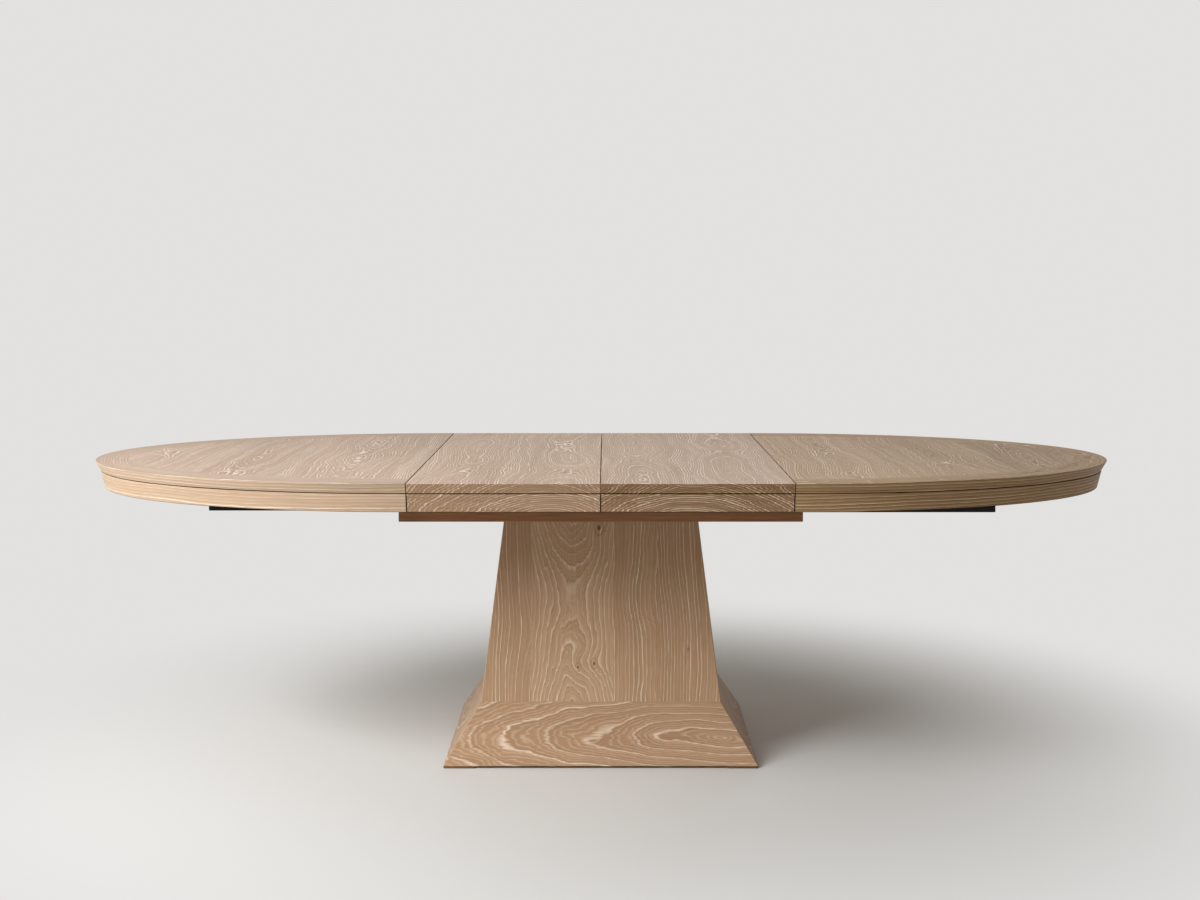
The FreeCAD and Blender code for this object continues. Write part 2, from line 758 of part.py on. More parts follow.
def slide_channel(side, name, back, lane):
    """A lipped channel, open towards the fixed rail's web, from its tail to under the end."""
    body = new_body()
    face = lane_place(back, lane, "dim.slide_side_gap")
    lip = lane_place(back, lane, "(dim.slide_side_gap + dim.slide_wall)")
    inside = lane_place(back, lane, "(dim.slide_side_gap + dim.slide_depth - dim.slide_wall)")
    outside = lane_place(back, lane, "(dim.slide_side_gap + dim.slide_depth)")
    floor = f"{SLIDE_UNDER} + dim.slide_wall"
    roof = f"{SLIDE_TOP} - dim.slide_wall"
    points = [
        (outside, SLIDE_UNDER),
        (outside, SLIDE_TOP),
        (face, SLIDE_TOP),
        (face, f"{roof} - dim.slide_lip"),
        (lip, f"{roof} - dim.slide_lip"),
        (lip, roof),
        (inside, roof),
        (inside, floor),
        (lip, floor),
        (lip, f"{floor} + dim.slide_lip"),
        (face, f"{floor} + dim.slide_lip"),
        (face, SLIDE_UNDER),
    ]
    sketch = outline(body, "YZ_Plane", points, f"-{SLIDE_TAIL}")
    pad(body, sketch, f"{SLIDE_TAIL} + {SLIDE_REACH}")
    holes = [
        cylinder(x, y, f"{SLIDE_TOP} - dim.slide_wall", "dim.batten_screw_radius", "dim.slide_wall")
        for x, y in slide_screw_places(lane)
    ]
    keep(f"{side}_{name}_slide", place_end(side, cut(body, holes)))


def slide_stops(side, lane):
    """Blocks in the slides' tails that meet the fixed ribs at full travel."""
    stops = []
    width = "(dim.slide_depth - 2 * dim.slide_wall)"
    height = "(dim.slide_height - 2 * dim.slide_wall)"
    floor = f"{SLIDE_UNDER} + dim.slide_wall"
    for back in (1, -1):
        y = f"{lane_place(back, lane, SLIDE_MIDDLE_OUT)} - {width} / 2"
        stops.append(box(f"-{SLIDE_TAIL}", y, floor, "dim.slide_stop_length", width, height))
    keep(f"{side}_slide_stops", place_end(side, group(stops)))


def end_batten(x, lane):
    """A batten over the end's own slides, relieved above the lane of the other end's slides."""
    half = f"({lane_place(1, OUTER_LANE, '(dim.slide_side_gap + dim.slide_depth)')} + dim.batten_overhang)"
    batten = centred_box(x, 0, SLIDE_TOP, "dim.batten_width", f"(2 * {half})", "dim.bearer_thickness")
    into_slide = [y for screw_x, y in slide_screw_places(lane) if screw_x == x]
    into_top = [y for screw_x, y in batten_screw_places() if screw_x == x]
    into_rack = [(screw_x, y) for screw_x, y in rack_screw_places() if x == BATTEN_MIDDLES[0]]
    shank = "dim.batten_screw_radius"
    head = "dim.batten_screw_head_radius"
    head_height = "dim.batten_screw_head_height"
    tools = [cylinder(x, y, SLIDE_TOP, shank, "dim.bearer_thickness") for y in into_slide + into_top]
    tools += [cylinder(x, y, f"{TOP_UNDER} - {head_height}", head, head_height) for y in into_slide]
    tools += [cylinder(x, y, SLIDE_TOP, head, head_height) for y in into_top]
    tools += [cylinder(screw_x, y, SLIDE_TOP, shank, "dim.batten_screw_bite") for screw_x, y in into_rack]
    relief_width = "(dim.slide_depth + 2 * dim.batten_relief_margin)"
    for back in (1, -1):
        y = lane_place(back, -lane, SLIDE_MIDDLE_OUT)
        tools.append(centred_box(x, y, SLIDE_TOP, "dim.batten_width", relief_width, "dim.batten_relief"))
    return cut(batten, tools)


def end_battens(side, lane):
    battens = [end_batten(x, lane) for x in BATTEN_MIDDLES]
    keep(f"{side}_end_battens", place_end(side, group(battens)))


def end_screws(side, lane):
    screws = [screw_into_slide(x, y) for x, y in slide_screw_places(lane)]
    screws += [screw_into_top(x, y) for x, y in batten_screw_places()]
    for x, y in rack_screw_places():
        length = "(dim.gear_thickness + dim.batten_screw_bite)"
        screws.append(cylinder(x, y, RACK_UNDER, "dim.batten_screw_radius", length))
    keep(f"{side}_end_screws", place_end(side, group(screws)))


def end_rack(side):
    """A toothed bar from beyond the pinion to the end's inner batten."""
    start = f"-({SEAM} + dim.rack_lead)"
    back_edge = f"-{RACK_OUTSIDE}"
    tip_edge = f"-({PITCH_RADIUS} - {ADDENDUM})"
    body = new_body()
    bar = [(start, back_edge), (RACK_FAR_END, back_edge), (RACK_FAR_END, tip_edge), (start, tip_edge)]
    bar_sketch = outline(body, "XY_Plane", bar, RACK_UNDER)
    pad(body, bar_sketch, "dim.gear_thickness")
    document.recompute()
    first_gap = f"(-{SEAM} - floor(dim.rack_lead / (pi * dim.tooth_module)) * pi * dim.tooth_module)"
    half_gap = "(pi * dim.tooth_module / 4 + dim.tooth_play / 2)"
    slope = f"tan({PRESSURE_ANGLE})"
    mouth = f"({half_gap} + {slope} * ({ADDENDUM} + dim.overrun))"
    root = f"({half_gap} - {slope} * {DEDENDUM})"
    mouth_edge = f"-({PITCH_RADIUS} - {ADDENDUM} - dim.overrun)"
    root_edge = f"-({PITCH_RADIUS} + {DEDENDUM})"
    gap = [
        (f"{first_gap} - {mouth}", mouth_edge),
        (f"{first_gap} - {root}", root_edge),
        (f"{first_gap} + {root}", root_edge),
        (f"{first_gap} + {mouth}", mouth_edge),
    ]
    first = pocket_through(body, outline(body, "XY_Plane", gap, RACK_UNDER))
    gaps = f"floor(({SEAM} + dim.rack_lead) / (pi * dim.tooth_module))"
    pattern = body.newObject("PartDesign::LinearPattern", "teeth")
    pattern.Originals = [first]
    pattern.Direction = (bar_sketch, ["H_Axis"])
    bind(pattern, Length=f"({gaps} - 1) * pi * dim.tooth_module", Occurrences=gaps)
    body.Tip = pattern
    holes = [
        cylinder(x, y, RACK_UNDER, "dim.batten_screw_radius", "dim.gear_thickness")
        for x, y in rack_screw_places()
    ]
    keep(f"{side}_rack", place_end(side, cut(body, holes)))


def end_seam_pins(side):
    """Pins that stand out of the seam edge, to enter the slots of a leaf."""
    pins = [
        level_cylinder("-dim.pin_bare_length", y, PIN_HEIGHT, "dim.pin_radius", "dim.pin_length")
        for y in pin_places()
    ]
    keep(f"{side}_seam_pins", place_end(side, group(pins)))


# Table locks: levers under one side of a seam, studs under the other


LOCK_PLATE = ("dim.lock_plate_length", "dim.lock_plate_width", "dim.lock_plate_thickness")
LOCK_REACH = "(2 * dim.lock_setback)"
SLOT_SWEEP = 45


def lock_pivot(x, y):
    """A plate under the top with a headed post that a lever turns on."""
    plate = centred_box(x, y, LOCK_UNDER, *LOCK_PLATE)
    length = "(2 * dim.fit_gap + dim.lever_thickness)"
    post = cylinder(x, y, f"{LOCK_UNDER} - {length}", "dim.lock_post_radius", length)
    head_under = f"{LOCK_UNDER} - {length} - dim.lock_post_head_height"
    head = cylinder(x, y, head_under, "dim.lock_post_head_radius", "dim.lock_post_head_height")
    return fuse([plate, post, head])


def lock_stud(x, y):
    """A plate under the top with a plain post that a lever's slot closes round."""
    plate = centred_box(x, y, LOCK_UNDER, *LOCK_PLATE)
    length = "(2 * dim.fit_gap + dim.lever_thickness)"
    post = cylinder(x, y, f"{LOCK_UNDER} - {length}", "dim.lock_stud_radius", length)
    return fuse([plate, post])


def lock_lever(label, x, y, open_turn, hand):
    """A flat lever with a curved slot in its leading edge. It turns by hand * 90 degrees to close."""
    nose = f"({LOCK_REACH} + dim.lever_nose)"
    middle = f"({nose} - dim.lever_tail) / 2"
    blade = centred_box(middle, 0, 0, f"({nose} + dim.lever_tail)", "dim.lever_width", "dim.lever_thickness")
    bore = cylinder(0, 0, 0, "dim.lock_post_radius + dim.running_gap", "dim.lever_thickness")
    slot_half = "(dim.lock_stud_radius + dim.fit_gap)"
    turn = 0 if hand == 1 else -SLOT_SWEEP
    outer = cylinder(0, 0, 0, f"{LOCK_REACH} + {slot_half}", "dim.lever_thickness", SLOT_SWEEP, turn)
    inner = cylinder(0, 0, 0, f"{LOCK_REACH} - {slot_half}", "dim.lever_thickness", SLOT_SWEEP, turn)
    seat = cylinder(LOCK_REACH, 0, 0, slot_half, "dim.lever_thickness")
    lever = cut(blade, [bore, cut(outer, [inner]), seat])
    keep(label, place(lever, x, y, LEVER_UNDER, open_turn))


def lock_pair(side, x, towards):
    """Two levers under one side of a seam, drawn open along it and pointing away from the middle."""
    for name, back in (("front", -1), ("back", 1)):
        y = f"{back} * {LOCK_PLACE}"
        lock_lever(f"{side}_{name}_lock_lever", x, y, 90 * back, -back * towards)


def end_lock_pivots(side):
    x = "(dim.lock_setback - dim.seam_gap / 2)"
    pivots = [lock_pivot(x, f"{back} * {LOCK_PLACE}") for back in (1, -1)]
    keep(f"{side}_lock_pivots", place_end(side, group(pivots)))


# Leaves, each built about its own middle


LEAF_MIDDLES = {"right": "dim.leaf_length / 2", "left": "-dim.leaf_length / 2"}
LEAF_HALF = "((dim.leaf_length - dim.seam_gap) / 2)"


def place_leaf(side, solid):
    return place(solid, x=LEAF_MIDDLES[side])


def pin_slots(edge):
    """Slots for a neighbour's pins in one edge of a leaf, open at that edge and below."""
    slots = []
    half_width = "(dim.pin_radius + dim.fit_gap)"
    depth = "(dim.pin_bare_length + dim.fit_gap)"
    start = f"{edge} * ({LEAF_HALF} - {depth} / 2) - {depth} / 2"
    size = (depth, f"2 * {half_width}", "dim.top_thickness / 2")
    for y in pin_places():
        slots.append(box(start, f"{y} - {half_width}", TOP_UNDER, *size))
        slots.append(level_cylinder(start, y, PIN_HEIGHT, half_width, depth))
    return slots


def leaf_top(side, slotted_edges, pinned_edges):
    """A panel whose front and back edges are undercut like the ends' edges."""
    body = new_body()
    half = "dim.table_width / 2"
    drawn_in = "(dim.table_width / 2 - dim.top_edge_inset)"
    section = [
        (f"-{half}", "dim.table_height"),
        (half, "dim.table_height"),
        (drawn_in, TOP_UNDER),
        (f"-{drawn_in}", TOP_UNDER),
    ]
    pad(body, outline(body, "YZ_Plane", section), f"2 * {LEAF_HALF}", both_ways=True)
    tools = [slot for edge in slotted_edges for slot in pin_slots(edge)]
    for edge in pinned_edges:
        start = f"{edge} * ({LEAF_HALF} - {PIN_SUNK_LENGTH} / 2) - {PIN_SUNK_LENGTH} / 2"
        for y in pin_places():
            tools.append(level_cylinder(start, y, PIN_HEIGHT, "dim.pin_radius", PIN_SUNK_LENGTH))
    keep(f"{side}_leaf_top", place_leaf(side, cut(body, tools)))


def leaf_apron(side, name, back):
    body = new_body()
    half = "dim.table_width / 2"
    groove_bottom = f"({half} - dim.top_edge_inset - dim.groove_depth)"
    groove_under = f"{TOP_UNDER} - dim.groove_height"
    points = [
        (f"{back} * {groove_bottom}", TOP_UNDER),
        (f"{back} * {groove_bottom}", groove_under),
        (f"{back} * ({half} - {apron_inset_at_groove()})", groove_under),
        (f"{back} * ({half} - {APRON_FOOT_INSET})", APRON_UNDER),
        (f"{back} * ({half} - {APRON_BACK_INSET})", APRON_UNDER),
        (f"{back} * ({half} - {APRON_BACK_INSET})", TOP_UNDER),
    ]
    pad(body, outline(body, "YZ_Plane", points), f"2 * {LEAF_HALF}", both_ways=True)
    keep(f"{side}_leaf_{name}_apron", place_leaf(side, body))


def leaf_bearers(side):
    """Bars along X, glued under a leaf, that carry it on the slides."""
    length = f"(2 * ({LEAF_HALF} - dim.bearer_end_gap))"
    size = (length, "dim.bearer_width", "dim.bearer_thickness")
    bearers = [centred_box(0, f"{back} * {RAIL_CENTRE}", SLIDE_TOP, *size) for back in (1, -1)]
    keep(f"{side}_leaf_bearers", place_leaf(side, group(bearers)))


def leaf_studs(side, edges):
    studs = [
        lock_stud(f"{edge} * (dim.leaf_length / 2 - dim.lock_setback)", f"{back} * {LOCK_PLACE}")
        for edge in edges
        for back in (1, -1)
    ]
    keep(f"{side}_leaf_lock_studs", place_leaf(side, group(studs)))


def leaf_pins():
    """Pins that stand out of the right leaf's inner edge, to enter the left leaf's slots."""
    start = f"-({LEAF_HALF} + dim.pin_bare_length)"
    pins = [level_cylinder(start, y, PIN_HEIGHT, "dim.pin_radius", "dim.pin_length") for y in pin_places()]
    keep("right_leaf_seam_pins", place_leaf("right", group(pins)))


def leaf_lock_pivots():
    x = "(dim.lock_setback - dim.leaf_length / 2)"
    pivots = [lock_pivot(x, f"{back} * {LOCK_PLACE}") for back in (1, -1)]
    keep("right_leaf_lock_pivots", place_leaf("right", group(pivots)))


# Everything above the pedestal's board, end by end and leaf by leaf

for side, lane in (("right", OUTER_LANE), ("left", INNER_LANE)):
    front = -1 if side == "right" else 1
    end_top(side)
    end_apron(side)
    slide_channel(side, "front", front, lane)
    slide_channel(side, "back", -front, lane)
    slide_stops(side, lane)
    end_battens(side, lane)
    end_rack(side)
    end_screws(side, lane)
    end_seam_pins(side)
    end_lock_pivots(side)

leaf_top("right", slotted_edges=(1,), pinned_edges=(-1,))
leaf_top("left", slotted_edges=(1, -1), pinned_edges=())
leaf_pins()
leaf_lock_pivots()
leaf_studs("right", edges=(1,))
leaf_studs("left", edges=(1, -1))
for side in ("right", "left"):
    leaf_apron(side, "front", -1)
    leaf_apron(side, "back", 1)
    leaf_bearers(side)

lock_pair("right", "(dim.leaf_length + dim.lock_setback)", -1)
lock_pair("left", "-(dim.leaf_length + dim.lock_setback)", 1)
lock_pair("middle", "dim.lock_setback", -1)


# Check every object, then write each sub-part

document.recompute()
for item in document.Objects:
    if "Invalid" in item.State or "Error" in item.State:
        raise RuntimeError(f"{item.Label} did not build: {item.State}")
for node in nodes:
    if node.Shape.isNull() or not node.Shape.isValid():
        raise RuntimeError(f"{node.Label} has no valid shape")

os.makedirs("parts", exist_ok=True)
for node in nodes:
    node.Shape.exportStep(f"parts/{node.Label}.step")
print(f"{len(nodes)} sub-parts written")
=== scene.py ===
import math

import bmesh
import bpy
from mathutils import Matrix, Vector


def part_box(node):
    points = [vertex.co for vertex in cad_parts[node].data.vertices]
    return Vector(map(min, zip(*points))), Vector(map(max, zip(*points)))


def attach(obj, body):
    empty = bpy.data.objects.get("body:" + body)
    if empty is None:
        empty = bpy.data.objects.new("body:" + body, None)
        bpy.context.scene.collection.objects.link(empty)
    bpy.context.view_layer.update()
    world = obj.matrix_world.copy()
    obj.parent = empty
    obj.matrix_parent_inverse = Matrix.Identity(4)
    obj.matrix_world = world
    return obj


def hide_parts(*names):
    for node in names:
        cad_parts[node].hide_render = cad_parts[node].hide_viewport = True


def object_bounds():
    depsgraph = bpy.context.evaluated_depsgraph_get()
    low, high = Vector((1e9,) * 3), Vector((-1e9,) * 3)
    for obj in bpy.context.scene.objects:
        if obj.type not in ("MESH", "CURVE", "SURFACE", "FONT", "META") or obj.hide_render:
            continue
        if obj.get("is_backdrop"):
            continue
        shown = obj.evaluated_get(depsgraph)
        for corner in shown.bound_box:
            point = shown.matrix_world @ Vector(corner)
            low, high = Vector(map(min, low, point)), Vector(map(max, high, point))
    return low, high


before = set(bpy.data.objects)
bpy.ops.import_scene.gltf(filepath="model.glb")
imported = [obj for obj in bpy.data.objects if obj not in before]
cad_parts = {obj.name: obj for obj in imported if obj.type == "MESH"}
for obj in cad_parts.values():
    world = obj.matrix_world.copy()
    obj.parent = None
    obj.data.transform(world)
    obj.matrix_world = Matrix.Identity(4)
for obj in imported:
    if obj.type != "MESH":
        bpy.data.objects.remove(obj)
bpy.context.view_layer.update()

scene = bpy.context.scene
scene.view_settings.view_transform = "Standard"

# Studio: a plain pale floor, a large soft lamp at the left, a weak one at the right and an even room light.
# The floor fades into the background away from the table, so that no horizon line crosses the picture.
# From below it is clear, to show the table's underside.


def paint(red, green, blue):
    """A colour given as it looks on screen, 0 to 255."""
    def linear(value):
        share = value / 255
        return share / 12.92 if share <= 0.04045 else ((share + 0.055) / 1.055) ** 2.4
    return (linear(red), linear(green), linear(blue), 1.0)


def fill(made, values):
    """Fill a node's inputs with numbers or links."""
    for key, value in values.items():
        if isinstance(value, bpy.types.NodeSocket):
            value.id_data.links.new(value, made.inputs[key])
        else:
            made.inputs[key].default_value = value


def node(tree, kind, values=None, **settings):
    """Add a node to a tree with its settings, fill its inputs, and return its first output."""
    made = tree.nodes.new(kind)
    for name, value in settings.items():
        setattr(made, name, value)
    fill(made, values or {})
    return made.outputs[0] if made.outputs else made


def linked(kind, values, **settings):
    """Add a node to the tree that the links among its values are in."""
    links = [value for value in values.values() if isinstance(value, bpy.types.NodeSocket)]
    return node(links[0].id_data, kind, values, **settings)


def calc(operation, *values):
    """A Math node."""
    return linked("ShaderNodeMath", dict(enumerate(values)), operation=operation)


def ramp(value, start, end, low=0.0, high=1.0):
    """A smooth step from low to high as the value goes from start to end."""
    values = {"Value": value, "From Min": start, "From Max": end, "To Min": low, "To Max": high}
    return linked("ShaderNodeMapRange", values, interpolation_type="SMOOTHSTEP")


BACKDROP = paint(226, 225, 223)
FLOOR = paint(210, 209, 206)
FLOOR_REACH = 30
FADE_START = 0.7
FADE_END = 2.0
ROOM_LIGHT = paint(255, 245, 232)
ROOM_STRENGTH = 0.27
LAMP_SIZE = 2.4

world = bpy.data.worlds.new("room")
world.use_nodes = True
scene.world = world
tree = world.node_tree
tree.nodes.clear()
rays = tree.nodes.new("ShaderNodeLightPath").outputs
seen = calc("MAXIMUM", rays["Is Camera Ray"], rays["Is Transmission Ray"])
seen = calc("MAXIMUM", seen, rays["Is Glossy Ray"])
lit = node(tree, "ShaderNodeBackground", {"Color": ROOM_LIGHT, "Strength": ROOM_STRENGTH})
shown = node(tree, "ShaderNodeBackground", {"Color": BACKDROP, "Strength": 1.0})
mixed = linked("ShaderNodeMixShader", {0: seen, 1: lit, 2: shown})
linked("ShaderNodeOutputWorld", {"Surface": mixed})

floor_mesh = bpy.data.meshes.new("floor")
corners = [(x * FLOOR_REACH, y * FLOOR_REACH, 0) for x, y in ((-1, -1), (1, -1), (1, 1), (-1, 1))]
floor_mesh.from_pydata(corners, [], [(0, 1, 2, 3)])
floor = bpy.data.objects.new("floor", floor_mesh)
scene.collection.objects.link(floor)
floor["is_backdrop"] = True
material = bpy.data.materials.new("floor_paint")
material.use_nodes = True
tree = material.node_tree
tree.nodes.clear()
place = tree.nodes.new("ShaderNodeTexCoord").outputs["Object"]
distance = linked("ShaderNodeVectorMath", {0: place}, operation="LENGTH").node.outputs["Value"]
rays = tree.nodes.new("ShaderNodeLightPath").outputs
seen = calc("MAXIMUM", rays["Is Camera Ray"], rays["Is Glossy Ray"])
far = calc("MULTIPLY", ramp(distance, FADE_START, FADE_END), seen)
near_shader = node(tree, "ShaderNodeBsdfPrincipled", {"Base Color": FLOOR, "Roughness": 0.55})
far_shader = node(tree, "ShaderNodeEmission", {"Color": BACKDROP, "Strength": 1.0})
mixed = linked("ShaderNodeMixShader", {0: far, 1: near_shader, 2: far_shader})
from_below = tree.nodes.new("ShaderNodeNewGeometry").outputs["Backfacing"]
clear = node(tree, "ShaderNodeBsdfTransparent")
mixed = linked("ShaderNodeMixShader", {0: from_below, 1: mixed, 2: clear})
linked("ShaderNodeOutputMaterial", {"Surface": mixed})
floor_mesh.materials.append(material)


def lamp(name, place, target, power, colour):
    """A square soft lamp that faces a point."""
    data = bpy.data.lights.new(name, "AREA")
    data.color = colour
    data.shape = "SQUARE"
    data.size = LAMP_SIZE
    data.energy = power
    light = bpy.data.objects.new(name, data)
    light.location = place
    light.rotation_euler = (Vector(target) - Vector(place)).to_track_quat("-Z", "Y").to_euler()
    scene.collection.objects.link(light)


lamp("key_lamp", place=(-3.4, -2.4, 2.9), target=(-0.4, 0.0, 0.7), power=320, colour=(0.94, 0.97, 1.0))
lamp("fill_lamp", place=(3.4, -3.6, 2.4), target=(0.3, 0.0, 0.5), power=4, colour=(1.0, 0.96, 0.9))

camera_data = bpy.data.cameras.new("camera")
camera_data.lens = 48.3
camera_data.sensor_width = 36
camera_data.shift_x = -0.0047
camera_data.shift_y = -0.1439
camera = bpy.data.objects.new("camera", camera_data)
camera.location = (0.012, -4.378, 1.2445)
camera.rotation_euler = (math.radians(90), 0, 0)
scene.collection.objects.link(camera)
scene.camera = camera

# Feet: four low brown hardwood pads under the corners of the base, with eased corners and edges.
# They leave a dark gap along the floor between them.

FOOT_LENGTH = 0.080
FOOT_CORNER = 0.003
FOOT_CORNER_STEPS = 5
FOOT_ARRIS = 0.0008
FOOT_WELD = 0.00001
WELD = 0.000001
FIBRES_ALONG = 9.0
FIBRES_ACROSS = 260.0
FIBRES_TO_BAND = 8
WOOD_GRAIN_RELIEF = 0.0002


def times(first, second):
    """The product of two values."""
    return calc("MULTIPLY", first, second)


def minus(first, second):
    """The first value less the second."""
    return calc("SUBTRACT", first, second)


def total(*values):
    """The sum of several values."""
    result = values[0]
    for value in values[1:]:
        result = calc("ADD", result, value)
    return result


def combine(**axes):
    """A point or size from its X, Y and Z."""
    return linked("ShaderNodeCombineXYZ", axes)


def blend_colours(share, first, second):
    """A colour between two, by share."""
    mix = linked("ShaderNodeMix", {0: share, 6: first, 7: second}, data_type="RGBA")
    return mix.node.outputs[2]


def speckle(point, scale, detail=2.0, roughness=0.5):
    """Noise of a point scaled along each axis, 0 to 1."""
    scaled = linked("ShaderNodeVectorMath", {0: point, 1: scale}, operation="MULTIPLY")
    values = {"Vector": scaled, "Scale": 1.0, "Detail": detail, "Roughness": roughness}
    return linked("ShaderNodeTexNoise", values)


def bump(height, distance):
    """The normal of a surface raised and lowered by a height, 0 to 1, over a distance in metres."""
    return linked("ShaderNodeBump", {"Height": height, "Distance": distance, "Strength": 1.0})


def new_material(name, roughness, metallic=0.0):
    """A Principled material, its shader and its Object coordinates."""
    material = bpy.data.materials.new(name)
    material.use_nodes = True
    tree = material.node_tree
    tree.nodes.clear()
    shader = node(tree, "ShaderNodeBsdfPrincipled", {"Roughness": roughness, "Metallic": metallic})
    linked("ShaderNodeOutputMaterial", {"Surface": shader})
    return material, shader.node, tree.nodes.new("ShaderNodeTexCoord").outputs["Object"]


def plain_wood(name, light, dark, along, roughness=0.6):
    """Straight-grained stained wood, its fibres along one axis."""
    material, shader, point = new_material(name, roughness)
    stretch = [FIBRES_ALONG if axis == along else FIBRES_ACROSS for axis in "XYZ"]
    fibres = speckle(point, stretch, 3.0, 0.6)
    bands = speckle(point, [value / FIBRES_TO_BAND for value in stretch])
    share = ramp(times(total(fibres, bands), 0.5), 0.32, 0.68)
    colour = blend_colours(share, paint(*light), paint(*dark))
    normal = bump(fibres, WOOD_GRAIN_RELIEF)
    fill(shader, {"Base Color": colour, "Specular IOR Level": 0.2, "Normal": normal})
    return material


def new_tree(name, *numbers):
    """A Geometry Nodes tree that is given points, numbers by name and a material, and what it is given."""
    tree = bpy.data.node_groups.new(name, "GeometryNodeTree")
    kinds = {"Geometry": "Geometry", **dict.fromkeys(numbers, "Float"), "Material": "Material"}
    for label, kind in kinds.items():
        tree.interface.new_socket(label, in_out="INPUT", socket_type=f"NodeSocket{kind}")
    tree.interface.new_socket("Geometry", in_out="OUTPUT", socket_type="NodeSocketGeometry")
    return tree, tree.nodes.new("NodeGroupInput").outputs


def finish_tree(geometry, given):
    """End a Geometry Nodes tree in Realize Instances and Set Material."""
    real = linked("GeometryNodeRealizeInstances", {0: geometry})
    made = linked("GeometryNodeSetMaterial", {"Geometry": real, "Material": given["Material"]})
    linked("NodeGroupOutput", {0: made})


def grow(name, tree, points, edges=(), **inputs):
    """Run a Geometry Nodes tree on points and edges, and return what it makes as a plain mesh."""
    start_mesh = bpy.data.meshes.new(name)
    start_mesh.from_pydata(points, edges, [])
    start = bpy.data.objects.new(name, start_mesh)
    scene.collection.objects.link(start)
    modifier = start.modifiers.new("nodes", "NODES")
    modifier.node_group = tree
    for item in tree.interface.items_tree:
        label = item.name.lower().replace(" ", "_")
        if item.in_out == "INPUT" and label in inputs:
            modifier[item.identifier] = inputs[label]
    bpy.context.view_layer.update()
    made = start.evaluated_get(bpy.context.evaluated_depsgraph_get())
    mesh = bpy.data.meshes.new_from_object(made)
    start.modifiers.remove(modifier)
    bpy.data.objects.remove(start)
    return mesh


def tidy(mesh, smooth_angle=None):
    """Merge doubles, turn all faces outwards, and shade round faces smooth."""
    work = bmesh.new()
    work.from_mesh(mesh)
    bmesh.ops.remove_doubles(work, verts=work.verts, dist=WELD)
    bmesh.ops.recalc_face_normals(work, faces=work.faces)
    work.to_mesh(mesh)
    work.free()
    if smooth_angle is not None:
        mesh.shade_smooth()
        mesh.set_sharp_from_angle(angle=math.radians(smooth_angle))
    return mesh


def add_piece(name, mesh, body, replaced):
    """Put a finished mesh in the scene, riding on its CAD body in place of its CAD node."""
    piece = bpy.data.objects.new(name, mesh)
    scene.collection.objects.link(piece)
    mesh.name = name
    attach(piece, body)
    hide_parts(replaced)


foot_wood = plain_wood("foot_brown_wood", (120, 88, 62), (74, 52, 36), "X")

foot_tree, given = new_tree("foot_pads", "Length", "Height", "Corner", "Arris")
both_arrises = times(given["Arris"], 2.0)
inner = minus(given["Length"], both_arrises)
square = linked("GeometryNodeCurvePrimitiveQuadrilateral", {"Width": inner, "Height": inner})
values = {"Curve": square, "Count": FOOT_CORNER_STEPS, "Radius": given["Corner"]}
rounded = linked("GeometryNodeFilletCurve", values, mode="POLY")
upper_face = linked("GeometryNodeFillCurve", {"Curve": rounded}, mode="NGONS")
widen = calc("DIVIDE", given["Length"], inner)
narrow = calc("DIVIDE", inner, given["Length"])
side_height = minus(given["Height"], both_arrises)
pad = upper_face
lower_face = True
for drop, factor in ((given["Arris"], widen), (side_height, 1.0), (given["Arris"], narrow)):
    offset = combine(Z=times(drop, -1.0))
    values = {"Mesh": pad, "Selection": lower_face, "Offset": offset, "Individual": False}
    pushed = linked("GeometryNodeExtrudeMesh", values).node.outputs
    lower_face = pushed["Top"]
    values = {"Geometry": pushed["Mesh"], "Selection": lower_face, "Scale": factor}
    pad = linked("GeometryNodeScaleElements", values)
closed = linked("GeometryNodeJoinGeometry", {0: upper_face})
fill(closed.node, {0: pad})
welded = linked("GeometryNodeMergeByDistance", {"Geometry": closed, "Distance": FOOT_WELD})
pads = linked("GeometryNodeInstanceOnPoints", {"Points": given["Geometry"], "Instance": welded})
finish_tree(pads, given)

low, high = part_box("corner_feet")
foot_places = [
    (x - math.copysign(FOOT_LENGTH / 2, x), y - math.copysign(FOOT_LENGTH / 2, y), high.z)
    for x in (low.x, high.x)
    for y in (low.y, high.y)
]
feet = grow(
    "feet", foot_tree, foot_places,
    length=FOOT_LENGTH, height=high.z, corner=FOOT_CORNER, arris=FOOT_ARRIS, material=foot_wood,
)
add_piece("feet", tidy(feet, 30), "pedestal", "corner_feet")

# Column: four oak veneered panels with vertical grain, mitred at their corners and leaning in to the top.
# Each is made up of veneer strips of different widths, limed so that the open grain shows white.

# Each noise in the oak: its layer, its scale across and along the board, its detail and its roughness
OAK_NOISE = {
    "sway": (0.3, 0.0, 1.5, 1.0, 0.5),
    "bulge": (7.7, 7.0, 2.6, 2.0, 0.5),
    "swing": (4.1, 0.0, 1.9, 1.0, 0.5),
    "ripple": (2.2, 12.0, 7.0, 2.0, 0.5),
    "fray": (6.5, 150.0, 5.0, 2.0, 0.6),
    "rag": (5.5, 34.0, 9.0, 3.0, 0.65),
    "fine rag": (5.9, 300.0, 60.0, 1.0, 0.5),
    "pores": (8.8, 620.0, 22.0, 2.0, 0.5),
    "fibres": (9.9, 330.0, 4.0, 3.0, 0.65),
    "broad tone": (3.3, 5.0, 1.2, 2.0, 0.5),
    "streaks": (1.7, 60.0, 1.6, 2.0, 0.5),
}
BOARD_STEP = 13.7
RING_STEP = 31.0
FRAY_LENGTH = 0.06
FINE_RAG_SHARE = 0.25
LINE_RISE = 0.06
LINE_NARROWEST = 0.20
LINE_SPREAD = 0.28
FAINT_LINES = 4.0
FAINT_STRENGTH = 0.28
BROAD_TONE = 0.9
STREAK_TONE = 0.6
BOARD_TONE = 0.5


